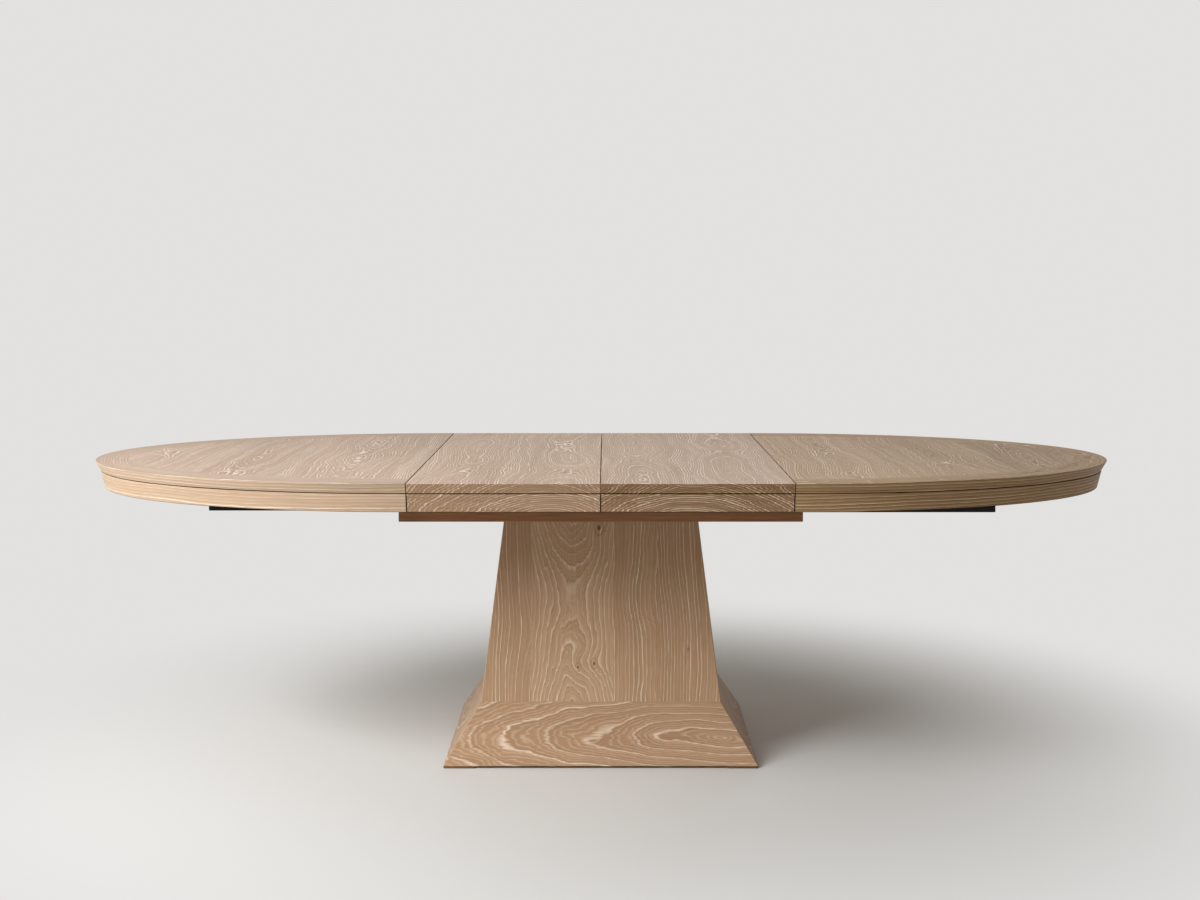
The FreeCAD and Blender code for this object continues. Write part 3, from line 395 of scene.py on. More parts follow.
def length(first, second):
    """How far a point that is first across and second along lies from its start."""
    return calc("SQRT", total(times(first, first), times(second, second)))


def oak_figure():
    """The grain of a sawn oak board: growth rings cut through, seen as lines, with fibres and pores.

    Across is the distance from the log's heart and Along the place on the board, both in metres.
    Board tells one board from the next.
    """
    tree = bpy.data.node_groups.new("oak_figure", "ShaderNodeTree")
    for label in (
        "Across", "Along", "Board", "Ring spacing", "Line width", "Heart depth", "Depth slope", "Heart swing",
        "Sway", "Rag",
    ):
        tree.interface.new_socket(label, in_out="INPUT", socket_type="NodeSocketFloat")
    for label in ("Lines", "Fibres", "Late wood", "Tone"):
        tree.interface.new_socket(label, in_out="OUTPUT", socket_type="NodeSocketFloat")
    given = tree.nodes.new("NodeGroupInput").outputs

    def noise(kind, along=given["Along"]):
        layer, across_scale, along_scale, detail, roughness = OAK_NOISE[kind]
        layer = calc("MULTIPLY_ADD", given["Board"], BOARD_STEP, layer)
        point = combine(X=given["Across"], Y=along, Z=layer)
        return speckle(point, (across_scale, along_scale, 1.0), detail, roughness)

    def centred(value, size):
        return times(minus(value, 0.5), size)

    def chance_of(value):
        return linked("ShaderNodeTexWhiteNoise", {"W": value}, noise_dimensions="1D")

    # Neighbouring fibres are cut at slightly different lengths, which frays the tips of the rings' arches
    frayed = total(given["Along"], centred(noise("fray"), times(given["Rag"], FRAY_LENGTH)))
    # The heart of the log wanders from side to side and up and down along the board
    sway = centred(noise("sway"), times(given["Sway"], 2.0))
    across = total(given["Across"], sway, centred(noise("bulge"), given["Sway"]))
    swing = centred(noise("swing", frayed), times(given["Heart swing"], 2.0))
    ripple = centred(noise("ripple", frayed), given["Sway"])
    depth = total(given["Heart depth"], swing, ripple, times(frayed, given["Depth slope"]))
    ragged = centred(noise("rag"), given["Rag"])
    finely_ragged = centred(noise("fine rag"), times(given["Rag"], FINE_RAG_SHARE))
    rings = calc("DIVIDE", length(across, depth), given["Ring spacing"])
    rings = total(rings, total(ragged, finely_ragged))
    share = calc("FRACT", rings)
    # A limed line starts each ring, and its width and strength differ from ring to ring
    chance = chance_of(calc("MULTIPLY_ADD", given["Board"], RING_STEP, calc("FLOOR", rings)))
    narrow = calc("MULTIPLY_ADD", chance, LINE_SPREAD, LINE_NARROWEST)
    line_end = times(narrow, given["Line width"])
    bold = times(ramp(share, 0.0, LINE_RISE), ramp(share, LINE_RISE, line_end, 1.0, 0.0))
    bold = times(bold, calc("MULTIPLY_ADD", chance, 0.75, 0.25))
    between = calc("FRACT", times(rings, FAINT_LINES))
    faint = ramp(between, 0.1, 0.5, FAINT_STRENGTH, 0.0)
    open_pores = calc("MULTIPLY_ADD", ramp(noise("pores"), 0.36, 0.60), 0.6, 0.4)
    lines = times(calc("MAXIMUM", bold, faint), open_pores)
    late_wood = ramp(share, 0.45, 1.0)
    tone = total(
        centred(noise("broad tone"), BROAD_TONE), centred(noise("streaks"), STREAK_TONE),
        calc("MULTIPLY_ADD", chance_of(given["Board"]), BOARD_TONE, BOARD_TONE / 2),
    )
    values = {"Lines": lines, "Fibres": noise("fibres"), "Late wood": late_wood, "Tone": tone}
    node(tree, "NodeGroupOutput", values)
    return tree


FIGURE = oak_figure()
OAK = ((188, 154, 121), (164, 128, 95), (226, 206, 182))
LATE_WOOD_SHADE = 0.66
LIME_RELIEF = 0.0003
KNOT_COLOUR = paint(84, 58, 38)
KNOT_SHAPE = 0.6
KNOT_RIM = 1.9
KNOT_CORE = 0.85
KNOT_HALO = 0.30
KNOT_SWIRL_RADIUS = 0.040
KNOT_SWIRL_DEPTH = 0.016


def shade(colour, factor, lift=0.0):
    """A colour, 0 to 255, made darker or lighter."""
    return tuple(min(1.0, value * factor + lift) for value in paint(*colour)[:3]) + (1.0,)


def colour_oak(shader, across, along, board, spacing, look, colours, knots=None):
    """Give a board the oak figure's colour, gloss and relief. Colours are light wood, dark wood and lime."""
    values = {**look, "Across": across, "Along": along, "Board": board, "Ring spacing": spacing}
    lime_strength = values.pop("Lime")
    late_wood_strength = values.pop("Late wood")
    figure = linked("ShaderNodeGroup", values, node_tree=FIGURE).node.outputs
    light, dark, lime = colours
    darker = shade(dark, LATE_WOOD_SHADE)
    colour = blend_colours(ramp(figure["Tone"], 0.0, 1.0), paint(*light), paint(*dark))
    colour = blend_colours(ramp(figure["Fibres"], 0.42, 0.78, 0.0, 0.40), colour, darker)
    colour = blend_colours(times(figure["Late wood"], late_wood_strength), colour, darker)
    colour = blend_colours(times(figure["Lines"], lime_strength), colour, paint(*lime))
    if knots:
        colour = blend_colours(knots, colour, KNOT_COLOUR)
    rough = calc("MULTIPLY_ADD", figure["Lines"], 0.16, 0.50)
    normal = bump(minus(times(figure["Fibres"], -0.5), figure["Lines"]), LIME_RELIEF)
    fill(shader, {"Base Color": colour, "Roughness": rough, "Specular IOR Level": 0.15, "Normal": normal})


def limed_oak(name, across, along, joints, hearts, seed, spacing, look, colours=OAK, knots=()):
    """Limed oak in veneer strips, for a flat panel.

    Joints are the strips' edges and hearts the middles of their rings, in metres along the across axis, and
    knots are (across, along, radius). Look holds the figure's other inputs, and how strongly the lime in the
    lines and the late wood between them show.
    """
    material, shader, point = new_material(name, 0.5)
    axes = linked("ShaderNodeSeparateXYZ", {0: point}).node.outputs
    width = axes[across]
    board = float(seed)
    heart = hearts[0]
    for joint, before, after in zip(joints, hearts, hearts[1:]):
        past = calc("GREATER_THAN", width, joint)
        board = calc("ADD", board, past)
        heart = calc("MULTIPLY_ADD", past, after - before, heart)
    heart_depth = look["Heart depth"]
    spots = None
    for knot_across, knot_along, radius in knots:
        flat = combine(X=width, Y=times(axes[along], KNOT_SHAPE))
        values = {0: flat, 1: (knot_across, knot_along * KNOT_SHAPE, 0.0)}
        distance = linked("ShaderNodeVectorMath", values, operation="DISTANCE").node.outputs["Value"]
        core = ramp(distance, radius / 3, radius, KNOT_CORE, 0.0)
        from_rim = calc("ABSOLUTE", minus(distance, radius * KNOT_RIM))
        spot = calc("MAXIMUM", core, ramp(from_rim, 0.0, radius / 2, KNOT_HALO, 0.0))
        spots = calc("MAXIMUM", spot, spots) if spots else spot
        swirl = ramp(distance, 0.0, KNOT_SWIRL_RADIUS, KNOT_SWIRL_DEPTH, 0.0)
        heart_depth = calc("ADD", swirl, heart_depth)
    look = {**look, "Heart depth": heart_depth}
    colour_oak(shader, minus(width, heart), axes[along], board, spacing, look, colours, spots)
    return material


def mitred_panel(section, extra, chamfer, turn):
    """A panel that faces -Y, turned about the table's middle, with 45 degree mitres at both ends.

    Section is a closed ring of (distance from the middle, height, whether its corner shows). The mitres lie
    extra beyond the distance, and the corners that show are blunted by the chamfer.
    """
    work = bmesh.new()
    spin = Matrix.Rotation(math.radians(turn), 3, "Z")
    ends = []
    for hand in (-1, 1):
        flat = []
        tips = []
        for out, height, shows in section:
            flat_end = out + extra - (chamfer if shows else 0.0)
            flat.append(work.verts.new(spin @ Vector((hand * flat_end, -out, height))))
            tip = out - chamfer / 2
            corner = Vector((hand * (tip + extra), -tip, height))
            tips.append(work.verts.new(spin @ corner) if shows else flat[-1])
        ends.append((flat, tips))
    (left, _), (right, _) = ends
    for index in range(len(section)):
        work.faces.new([left[index - 1], left[index], right[index], right[index - 1]])
    for flat, tips in ends:
        for index in range(len(section)):
            strip = list(dict.fromkeys([flat[index - 1], tips[index - 1], tips[index], flat[index]]))
            if len(strip) > 2:
                work.faces.new(strip)
        work.faces.new(tips)
    mesh = bpy.data.meshes.new("panel")
    work.to_mesh(mesh)
    work.free()
    return tidy(mesh)


# A panel's name, its turn, the axis across its veneer strips, and the seed of its figure
SIDES = (("front", 0, "X", 3), ("right", 90, "Y", 11), ("back", 180, "X", 19), ("left", 270, "Y", 27))
low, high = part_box("column_front")
COLUMN_FOOT = low.z
COLUMN_HEAD = high.z
COLUMN_FOOT_HALF = {"X": high.x, "Y": -low.y}
COLUMN_LEAN = 0.0731
COLUMN_WALL = 0.020
CORNER_CHAMFER = 0.0016
COLUMN_RINGS = 0.0085
COLUMN_JOINTS = {
    "front": (-0.182, 0.032, 0.150),
    "right": (-0.075, 0.120),
    "back": (-0.190, -0.020, 0.165),
    "left": (-0.110, 0.060),
}
COLUMN_HEARTS = {
    "front": (-0.140, -0.070, 0.215, -0.020),
    "right": (-0.160, 0.030, 0.010),
    "back": (-0.320, -0.110, 0.085, 0.060),
    "left": (-0.010, -0.020, 0.150),
}
COLUMN_KNOTS = {
    "front": (
        (-0.006, 0.588, 0.0062), (-0.060, 0.2325, 0.0032), (-0.018, 0.242, 0.0042), (0.226, 0.278, 0.0028),
    ),
    "right": ((0.055, 0.410, 0.0050),),
    "back": ((0.120, 0.505, 0.0045), (-0.090, 0.190, 0.0060)),
    "left": ((-0.040, 0.330, 0.0050),),
}
COLUMN_LOOK = {
    "Line width": 1.0, "Heart depth": 0.045, "Heart swing": 0.12, "Sway": 0.030, "Rag": 0.45,
    "Lime": 1.0, "Late wood": 0.28,
}

for side, turn, across, seed in SIDES:
    facing = "Y" if across == "X" else "X"
    foot = COLUMN_FOOT_HALF[facing]
    head = foot - COLUMN_LEAN
    extra = COLUMN_FOOT_HALF[across] - foot
    section = [
        (foot, COLUMN_FOOT, True),
        (head, COLUMN_HEAD, True),
        (head - COLUMN_WALL, COLUMN_HEAD, False),
        (foot - COLUMN_WALL, COLUMN_FOOT, False),
    ]
    panel = mitred_panel(section, extra, CORNER_CHAMFER, turn)
    panel.materials.append(limed_oak(
        f"column_{side}_limed_oak", across, "Z", COLUMN_JOINTS[side], COLUMN_HEARTS[side], seed,
        COLUMN_RINGS, COLUMN_LOOK, knots=COLUMN_KNOTS[side],
    ))
    add_piece(f"column_panel_{side}", panel, "pedestal", f"column_{side}")

# Skirt: four sloping oak panels round the column's foot, mitred, with level grain in bold flames.
# Their upper edge is planed thin, to lie on the column, and the feet hold them clear of the floor.

low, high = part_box("skirt_front")
SKIRT_FOOT = low.z
SKIRT_HEAD = high.z
SKIRT_FOOT_HALF = {"X": high.x, "Y": -low.y}
SKIRT_INSET = high.y - low.y
SKIRT_WALL = 0.024
LAP_HEIGHT = 0.0995
SKIRT_RINGS = 0.0165
SKIRT_HEART = 0.060
SKIRT_SEED_STEP = 40
SKIRT_FACE_OAK = ((184, 149, 116), (164, 129, 98), (230, 211, 188))
# The left and right panels' copy is painted darker than the front and back copy: painted shade on the sides,
# which the lamps light more.
SKIRT_SIDE_OAK_PAINTED_SHADE = ((173, 141, 110), (153, 121, 92), (219, 203, 182))
SKIRT_LOOK = {
    "Line width": 0.6, "Heart depth": 0.052, "Depth slope": -0.135, "Heart swing": 0.030, "Sway": 0.034,
    "Rag": 0.42, "Lime": 0.95, "Late wood": 0.25,
}

for side, turn, across, seed in SIDES:
    facing = "Y" if across == "X" else "X"
    foot = SKIRT_FOOT_HALF[facing]
    extra = SKIRT_FOOT_HALF[across] - foot
    risen = (LAP_HEIGHT - COLUMN_FOOT) / (COLUMN_HEAD - COLUMN_FOOT)
    section = [
        (foot, SKIRT_FOOT, True),
        (foot - SKIRT_INSET, SKIRT_HEAD, True),
        (COLUMN_FOOT_HALF[facing] - COLUMN_LEAN * risen, LAP_HEIGHT, False),
        (foot - SKIRT_WALL, SKIRT_FOOT, False),
    ]
    panel = mitred_panel(section, extra, CORNER_CHAMFER, turn)
    # The left and right panels take the copy with the painted shade.
    panel.materials.append(limed_oak(
        f"skirt_{side}_limed_oak", "Z", across, (), (SKIRT_HEART,), seed + SKIRT_SEED_STEP, SKIRT_RINGS,
        SKIRT_LOOK, SKIRT_FACE_OAK if across == "X" else SKIRT_SIDE_OAK_PAINTED_SHADE,
    ))
    add_piece(f"skirt_panel_{side}", panel, "pedestal", f"skirt_{side}")

# Inside the pedestal: the base plate, the glued corner blocks and the top plate, plain unfinished beech.
# They are seen only from below or with the table apart.

hidden_wood = plain_wood("unfinished_beech", (214, 184, 148), (186, 150, 112), "X")


def set_materials(mesh, *materials):
    """Give a mesh its materials in order."""
    mesh.materials.clear()
    for material in materials:
        mesh.materials.append(material)


def finish_cad(material, *names):
    """Give CAD nodes that stay as they are their finish."""
    for name in names:
        set_materials(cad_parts[name].data, material)


finish_cad(hidden_wood, "base_plate", "column_corner_blocks", "column_top_plate")

# Carrier board: a brown stained board bolted to the top of the column, with eased edges.
# The fixed rails and the gear block stand on it.

BOARD_ARRIS = 0.0012
CAD_WELD = 0.000002
FLAT_ANGLE = math.radians(0.6)
SHARP_ANGLE = math.radians(25)
LONG_EDGE = 0.05


def planed_copy(name, arris, shortest, *materials):
    """A CAD part's mesh merged into one skin, its sharp edges longer than shortest eased by an arris."""
    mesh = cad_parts[name].data.copy()
    work = bmesh.new()
    work.from_mesh(mesh)
    bmesh.ops.remove_doubles(work, verts=work.verts, dist=CAD_WELD)
    bmesh.ops.dissolve_limit(
        work, angle_limit=FLAT_ANGLE, verts=work.verts, edges=work.edges, delimit={"NORMAL"}
    )
    edges = [
        edge for edge in work.edges
        if len(edge.link_faces) == 2
        and edge.calc_face_angle(0.0) > SHARP_ANGLE
        and edge.calc_length() > shortest
    ]
    bmesh.ops.bevel(
        work, geom=edges, offset=arris, offset_type="OFFSET", segments=1, affect="EDGES", clamp_overlap=True,
        miter_outer="SHARP",
    )
    work.to_mesh(mesh)
    work.free()
    mesh.shade_smooth()
    mesh.set_sharp_from_angle(angle=SHARP_ANGLE)
    set_materials(mesh, *materials)
    return mesh


carrier_wood = plain_wood("carrier_brown_stained_wood", (158, 112, 76), (122, 84, 55), "X", 0.55)
board = planed_copy("carrier_board", BOARD_ARRIS, LONG_EDGE, carrier_wood)
add_piece("carrier_board_planed", board, "pedestal", "carrier_board")

# Bolts and screws of the pedestal: four bolts hold the board on the column, ten screws hold the rails from
# below, and two more hold the gear block. Each head has its cross recess.

SCRATCH_RELIEF = 0.00005
SHANK_OVERLAP = 0.0001
RECESS_LENGTH = 1.15
RECESS_WIDTH = 0.26
RECESS_DEPTH = 1.1


def metal(name, colour, roughness):
    """Brushed or plated metal with faint scratches."""
    material, shader, point = new_material(name, roughness, 1.0)
    scratches = speckle(point, (90.0, 900.0, 900.0))
    wear = ramp(speckle(point, (14.0, 14.0, 14.0)), 0.3, 0.7)
    worn = blend_colours(wear, paint(*colour), shade(colour, 0.72))
    rough = calc("MULTIPLY_ADD", scratches, 0.22, roughness - 0.1)
    fill(shader, {"Base Color": worn, "Roughness": rough, "Normal": bump(scratches, SCRATCH_RELIEF)})
    return material


steel = metal("zinc_plated_steel", (176, 176, 172), 0.38)


def raised(shape, height):
    """A shape moved up by a height."""
    return linked("GeometryNodeTransform", {"Geometry": shape, "Translation": combine(Z=height)})


def placed(shape, given, **turn):
    """A shape at each of the points, turned."""
    values = {"Points": given["Geometry"], "Instance": shape, "Rotation": combine(**turn)}
    return linked("GeometryNodeInstanceOnPoints", values)


screw_tree, given = new_tree(
    "recessed_screws", "Head radius", "Head height", "Shank radius", "Shank length", "Turn"
)
values = {"Vertices": 24, "Radius": given["Head radius"], "Depth": given["Head height"]}
head = linked("GeometryNodeMeshCylinder", values)
values = {"Vertices": 16, "Radius": given["Shank radius"], "Depth": given["Shank length"]}
shank = linked("GeometryNodeMeshCylinder", values)
half_head = times(given["Head height"], 0.5)
drop = times(total(given["Shank length"], given["Head height"]), -0.5)
shank = raised(shank, total(drop, SHANK_OVERLAP))
long_side = times(given["Head radius"], RECESS_LENGTH)
short_side = times(given["Head radius"], RECESS_WIDTH)
deep = times(given["Head height"], RECESS_DEPTH)
bars = []
for first, second in ((long_side, short_side), (short_side, long_side)):
    bar = linked("GeometryNodeMeshCube", {"Size": combine(X=first, Y=second, Z=deep)})
    bars.append(raised(bar, half_head))
solid = linked("GeometryNodeMeshBoolean", {"Mesh 2": head}, operation="UNION", solver="MANIFOLD")
fill(solid.node, {"Mesh 2": shank})
cut = linked("GeometryNodeMeshBoolean", {"Mesh 1": solid}, operation="DIFFERENCE", solver="MANIFOLD")
for bar in bars:
    fill(cut.node, {"Mesh 2": bar})
screw = raised(cut, times(half_head, -1.0))
finish_tree(placed(screw, given, X=given["Turn"]), given)


def screws(places, heads_down, head, shank):
    """Screws whose heads' outer faces are at the places. Head and shank are (radius, height or length)."""
    return grow(
        "screws", screw_tree, places, head_radius=head[0], head_height=head[1], shank_radius=shank[0],
        shank_length=shank[1], turn=math.pi if heads_down else 0.0, material=steel,
    )


def joined(name, meshes):
    """Several meshes as one. Its material slot is empty, as the first slot is on what grow makes."""
    work = bmesh.new()
    for mesh in meshes:
        work.from_mesh(mesh)
    result = bpy.data.meshes.new(name)
    work.to_mesh(result)
    work.free()
    result.materials.append(meshes[0].materials[0])
    return result


BOLT_HEAD = (0.009, 0.006)
BOLT_SHANK = (0.005, 0.050)
BOLT_X = 0.18
BOLT_Y = 0.09
BOARD_SCREW_HEAD = (0.0045, 0.0035)
BOARD_SCREW_SHANK = (0.0025, 0.0415)
RAIL_SCREW_SHARES = (-0.92, -0.46, 0.0, 0.46, 0.92)
BLOCK_SCREW_X = 0.04
board_low, board_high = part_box("carrier_board")
low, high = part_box("back_fixed_rail")
RAIL_CENTRE = (low.y + high.y) / 2
bolt_places = [(x, y, board_high.z + BOLT_HEAD[1]) for x in (-BOLT_X, BOLT_X) for y in (-BOLT_Y, BOLT_Y)]
board_screw_places = [
    (share * board_high.x, y, board_low.z)
    for share in RAIL_SCREW_SHARES for y in (-RAIL_CENTRE, RAIL_CENTRE)
]
board_screw_places += [(x, 0.0, board_low.z) for x in (-BLOCK_SCREW_X, BLOCK_SCREW_X)]
fixings = joined("carrier_fixings", [
    screws(bolt_places, False, BOLT_HEAD, BOLT_SHANK),
    screws(board_screw_places, True, BOARD_SCREW_HEAD, BOARD_SCREW_SHANK),
])
add_piece("board_bolts_and_screws", tidy(fixings, 30), "pedestal", "carrier_fixings")

# Fixed rails: black lacquered webs on the board, with a T-shaped rib on each side that the slides run on.
# Pale low-friction strips line the ribs.

RAIL_ARRIS = 0.0008
LACQUER_RELIEF = 0.00012
PLASTIC_RELIEF = 0.00004


def lacquer(name, colour, roughness):
    """Brushed-on lacquer over a fine grain."""
    material, shader, point = new_material(name, roughness)
    grain = speckle(point, (30.0, 400.0, 400.0), 3.0)
    patches = ramp(speckle(point, (7.0, 7.0, 7.0)), 0.3, 0.7)
    rubbed = blend_colours(patches, paint(*colour), shade(colour, 1.6, 0.002))
    rough = calc("MULTIPLY_ADD", grain, 0.2, roughness - 0.1)
    normal = bump(grain, LACQUER_RELIEF)
    fill(shader, {"Base Color": rubbed, "Roughness": rough, "Specular IOR Level": 0.2, "Normal": normal})
    return material


def moulded_plastic(name, colour, roughness):
    """Moulded plastic with a faint orange-peel surface."""
    material, shader, point = new_material(name, roughness)
    mottled = blend_colours(speckle(point, (60.0, 60.0, 60.0)), paint(*colour), shade(colour, 0.86))
    normal = bump(speckle(point, (700.0, 700.0, 700.0)), PLASTIC_RELIEF)
    fill(shader, {"Base Color": mottled, "Normal": normal})
    return material


black_lacquer = lacquer("rail_black_lacquer", (13, 12, 10), 0.6)
for side in ("front", "back"):
    rail = planed_copy(f"{side}_fixed_rail", RAIL_ARRIS, LONG_EDGE, black_lacquer)
    add_piece(f"{side}_rail_lacquered", rail, "pedestal", f"{side}_fixed_rail")
finish_cad(moulded_plastic("glide_white_plastic", (224, 222, 214), 0.35), "rail_glides")

# Equalising gear: a pinion that turns on a steel axle in a wooden block, between guides for the two racks.
# It makes both ends slide out together.

gear_plastic = moulded_plastic("gear_pale_nylon", (206, 200, 184), 0.4)
finish_cad(hidden_wood, "gear_block", "rack_guides")
finish_cad(steel, "gear_axle")
finish_cad(gear_plastic, "pinion_gear", "right_rack", "left_rack")

# Slides: black lacquered lipped channels, two under each end, that run on the fixed rails' ribs.
# Their outer ends show below the aprons.

for end in ("right", "left"):
    for side in ("front", "back"):
        name = f"{end}_{side}_slide"
        slide = planed_copy(name, RAIL_ARRIS, LONG_EDGE, black_lacquer)
        add_piece(f"{name}_lacquered", slide, f"{end}_end", name)
    finish_cad(black_lacquer, f"{end}_slide_stops")

# Battens: two beech bars across each end, screwed to its slides from above and to its top from below.
# The inner one carries the rack.

ENDS = (("right", 1), ("left", -1))
BATTEN_WIDTH = 0.060
BATTEN_ARRIS = 0.0004
BATTEN_EDGE = 0.03
RACK_BAR = 0.010
RACK_SCREW_X = 0.015
TOP_SCREW_SHARES = (-0.6, -0.3, 0.3, 0.6)
BATTEN_SCREW_HEAD = (0.005, 0.004)
SLIDE_SCREW_SHANK = (0.0025, 0.020)
TOP_SCREW_SHANK = (0.0025, 0.029)
RACK_SCREW_HEAD = (0.0025, 0.002)
RACK_SCREW_SHANK = (0.0024, 0.022)
batten_wood = plain_wood("batten_oiled_beech", (206, 172, 134), (172, 134, 96), "Y")

for end, hand in ENDS:
    name = f"{end}_end_battens"
    battens = planed_copy(name, BATTEN_ARRIS, BATTEN_EDGE, batten_wood)
    add_piece(f"{end}_battens_planed", battens, f"{end}_end", name)
    low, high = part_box(name)
    inner, outer = (low.x, high.x) if hand == 1 else (high.x, low.x)
    middles = (inner + hand * BATTEN_WIDTH / 2, outer - hand * BATTEN_WIDTH / 2)
    slide_low, slide_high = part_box(f"{end}_back_slide")
    lane = (slide_low.y + slide_high.y) / 2
    into_slides = [(x, y, high.z) for x in middles for y in (-lane, lane)]
    into_top = [(x, share * RAIL_CENTRE, low.z) for x in middles for share in TOP_SCREW_SHARES]
    rack_low, rack_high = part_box(f"{end}_rack")
    rack_line = -hand * (max(-rack_low.y, rack_high.y) - RACK_BAR / 2)
    into_rack = [(middles[0] + x, rack_line, rack_low.z) for x in (-RACK_SCREW_X, RACK_SCREW_X)]
    end_screws = joined("end_screws", [
        screws(into_slides, False, BATTEN_SCREW_HEAD, SLIDE_SCREW_SHANK),
        screws(into_top, True, BATTEN_SCREW_HEAD, TOP_SCREW_SHANK),
        screws(into_rack, True, RACK_SCREW_HEAD, RACK_SCREW_SHANK),
    ])
    tidy(end_screws, 30)
    add_piece(f"{end}_batten_screws", end_screws, f"{end}_end", f"{end}_end_screws")

# Ends: each top is half an oval, an undercut panel with its grain from front to back, in veneer strips.
# A band of oak follows the edge all round, and the edge itself is lipped with straight-grained oak.

OVAL_STEPS = 144

oval_tree, given = new_tree("half_oval_sweep", "Long radius", "Short radius")
profile = linked("GeometryNodeMeshToCurve", {"Mesh": given["Geometry"]})
place = node(oval_tree, "GeometryNodeInputPosition")
values = {"Geometry": profile, "Name": "section", "Value": place}
kept = linked("GeometryNodeStoreNamedAttribute", values, data_type="FLOAT_VECTOR")
line = node(oval_tree, "GeometryNodeCurvePrimitiveLine", {"Start": (0.0, 0.0, 0.0), "End": (0.0, 0.0, 1.0)})
path = linked("GeometryNodeResampleCurve", {"Curve": line, "Count": OVAL_STEPS + 1})
travelled = node(oval_tree, "GeometryNodeSplineParameter")
values = {"Geometry": path, "Name": "travel", "Value": travelled}
marked = linked("GeometryNodeStoreNamedAttribute", values, data_type="FLOAT")
swept = linked("GeometryNodeCurveToMesh", {"Curve": marked, "Profile Curve": kept, "Fill Caps": True})
section = node(oval_tree, "GeometryNodeInputNamedAttribute", {"Name": "section"}, data_type="FLOAT_VECTOR")
travel = node(oval_tree, "GeometryNodeInputNamedAttribute", {"Name": "travel"}, data_type="FLOAT")
parts = linked("ShaderNodeSeparateXYZ", {0: section}).node.outputs
angle = times(minus(travel, 0.5), math.pi)
long_radius = minus(given["Long radius"], parts[0])
short_radius = minus(given["Short radius"], parts[0])
bent = combine(
    X=times(long_radius, calc("COSINE", angle)),
    Y=times(short_radius, calc("SINE", angle)), Z=parts[1],
)
bowed = linked("GeometryNodeSetPosition", {"Geometry": swept, "Position": bent})
finish_tree(bowed, given)

low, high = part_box("right_end_top")
HAIR = 0.000005
SEAM = low.x
END_LENGTH = high.x - low.x - HAIR
HALF_WIDTH = high.y
TABLE_HEIGHT = high.z
TOP_UNDER = low.z
EDGE_UNDERCUT = 0.013
BAND_WIDTH = 0.085
ARRIS = 0.0011
SEAM_ARRIS = 0.0012


def half_oval(name, section, closed, material):
    """Sweep a section of (inset, height) points round half the oval, its seam on x = 0, its tip on +X."""
    edges = [(index, index + 1) for index in range(len(section) - 1)]
    if closed:
        edges.append((len(section) - 1, 0))
    points = [(inset, height, 0.0) for inset, height in section]
    return grow(
        name, oval_tree, points, edges, long_radius=END_LENGTH, short_radius=HALF_WIDTH, material=material
    )


def ease_seam(mesh):
    """Weld the swept skin, fill its open seam face, ease that face's edges and turn all faces outwards."""
    work = bmesh.new()
    work.from_mesh(mesh)
    bmesh.ops.remove_doubles(work, verts=work.verts, dist=WELD)
    rim = [edge for edge in work.edges if len(edge.link_faces) == 1]
    if rim:
        bmesh.ops.contextual_create(work, geom=rim)
    bmesh.ops.recalc_face_normals(work, faces=work.faces)
    work.normal_update()
    seam_faces = [
        face for face in work.faces if face.normal.x < -0.99 and face.calc_center_median().x < 1e-4
    ]
    edges = list({edge for face in seam_faces for edge in face.edges})
    bmesh.ops.bevel(work, geom=edges, offset=SEAM_ARRIS, offset_type="OFFSET", segments=1, affect="EDGES")
    work.to_mesh(mesh)
    work.free()
    mesh.shade_smooth()
    mesh.set_sharp_from_angle(angle=math.radians(20))
    return mesh


def place_end(mesh, hand):
    """Move a half oval made round its own seam's middle to its end of the table."""
    turn = Matrix.Rotation(0 if hand == 1 else math.pi, 4, "Z")
    mesh.transform(Matrix.Translation((hand * SEAM, 0, 0)) @ turn)


def half_oval_oak(name, hand, banded, heart, seed, spacing, look, colours):
    """Oak whose grain follows the half oval: a band on the top face, or a lipping round the edge."""
    material, shader, point = new_material(name, 0.5)
    axes = linked("ShaderNodeSeparateXYZ", {0: point}).node.outputs
    out = times(minus(axes["X"], hand * SEAM), hand / END_LENGTH)
    side = times(axes["Y"], 1.0 / HALF_WIDTH)
    mean_radius = (END_LENGTH + HALF_WIDTH) / 2
    along = times(calc("ARCTAN2", side, out), mean_radius)
    across = times(length(out, side), mean_radius) if banded else axes["Z"]
    colour_oak(shader, minus(across, heart), along, float(seed), spacing, look, colours)
    return material


def faces_down(face):
    """Whether a face is on an underside."""
    return face.normal.z < -0.9


def is_at_seam(face, hand):
    """Whether an end's face is its seam face or an arris of it."""
    return hand * face.center.x - SEAM < SEAM_ARRIS and hand * face.normal.x < -0.5


# Each end has its own copies of the oak: the left end's are painted lighter and the right end's darker,
# painted light and shade from the lamp at the left. The left lipping is also paler, a painted sheen.
END_OAK_PAINTED_LIGHT_AND_SHADE = {
    "right": ((184, 153, 122), (142, 111, 79), (249, 234, 214)),
    "left": ((197, 168, 145), (158, 129, 105), (248, 235, 222)),
}
BAND_OAK_PAINTED_LIGHT_AND_SHADE = {
    "right": ((180, 148, 114), (148, 116, 83), (232, 212, 185)),
    "left": ((191, 163, 141), (163, 136, 112), (238, 225, 212)),
}
LIPPING_OAK_PAINTED_SHEEN_AND_SHADE = {
    "right": ((169, 136, 99), (122, 88, 52), (222, 198, 165)),
    "left": ((200, 172, 144), (170, 140, 112), (238, 222, 202)),
}
TOP_LOOK = {
    "Line width": 1.2, "Heart depth": 0.030, "Heart swing": 0.11, "Sway": 0.045, "Rag": 0.6,
    "Lime": 1.0, "Late wood": 0.40,
}
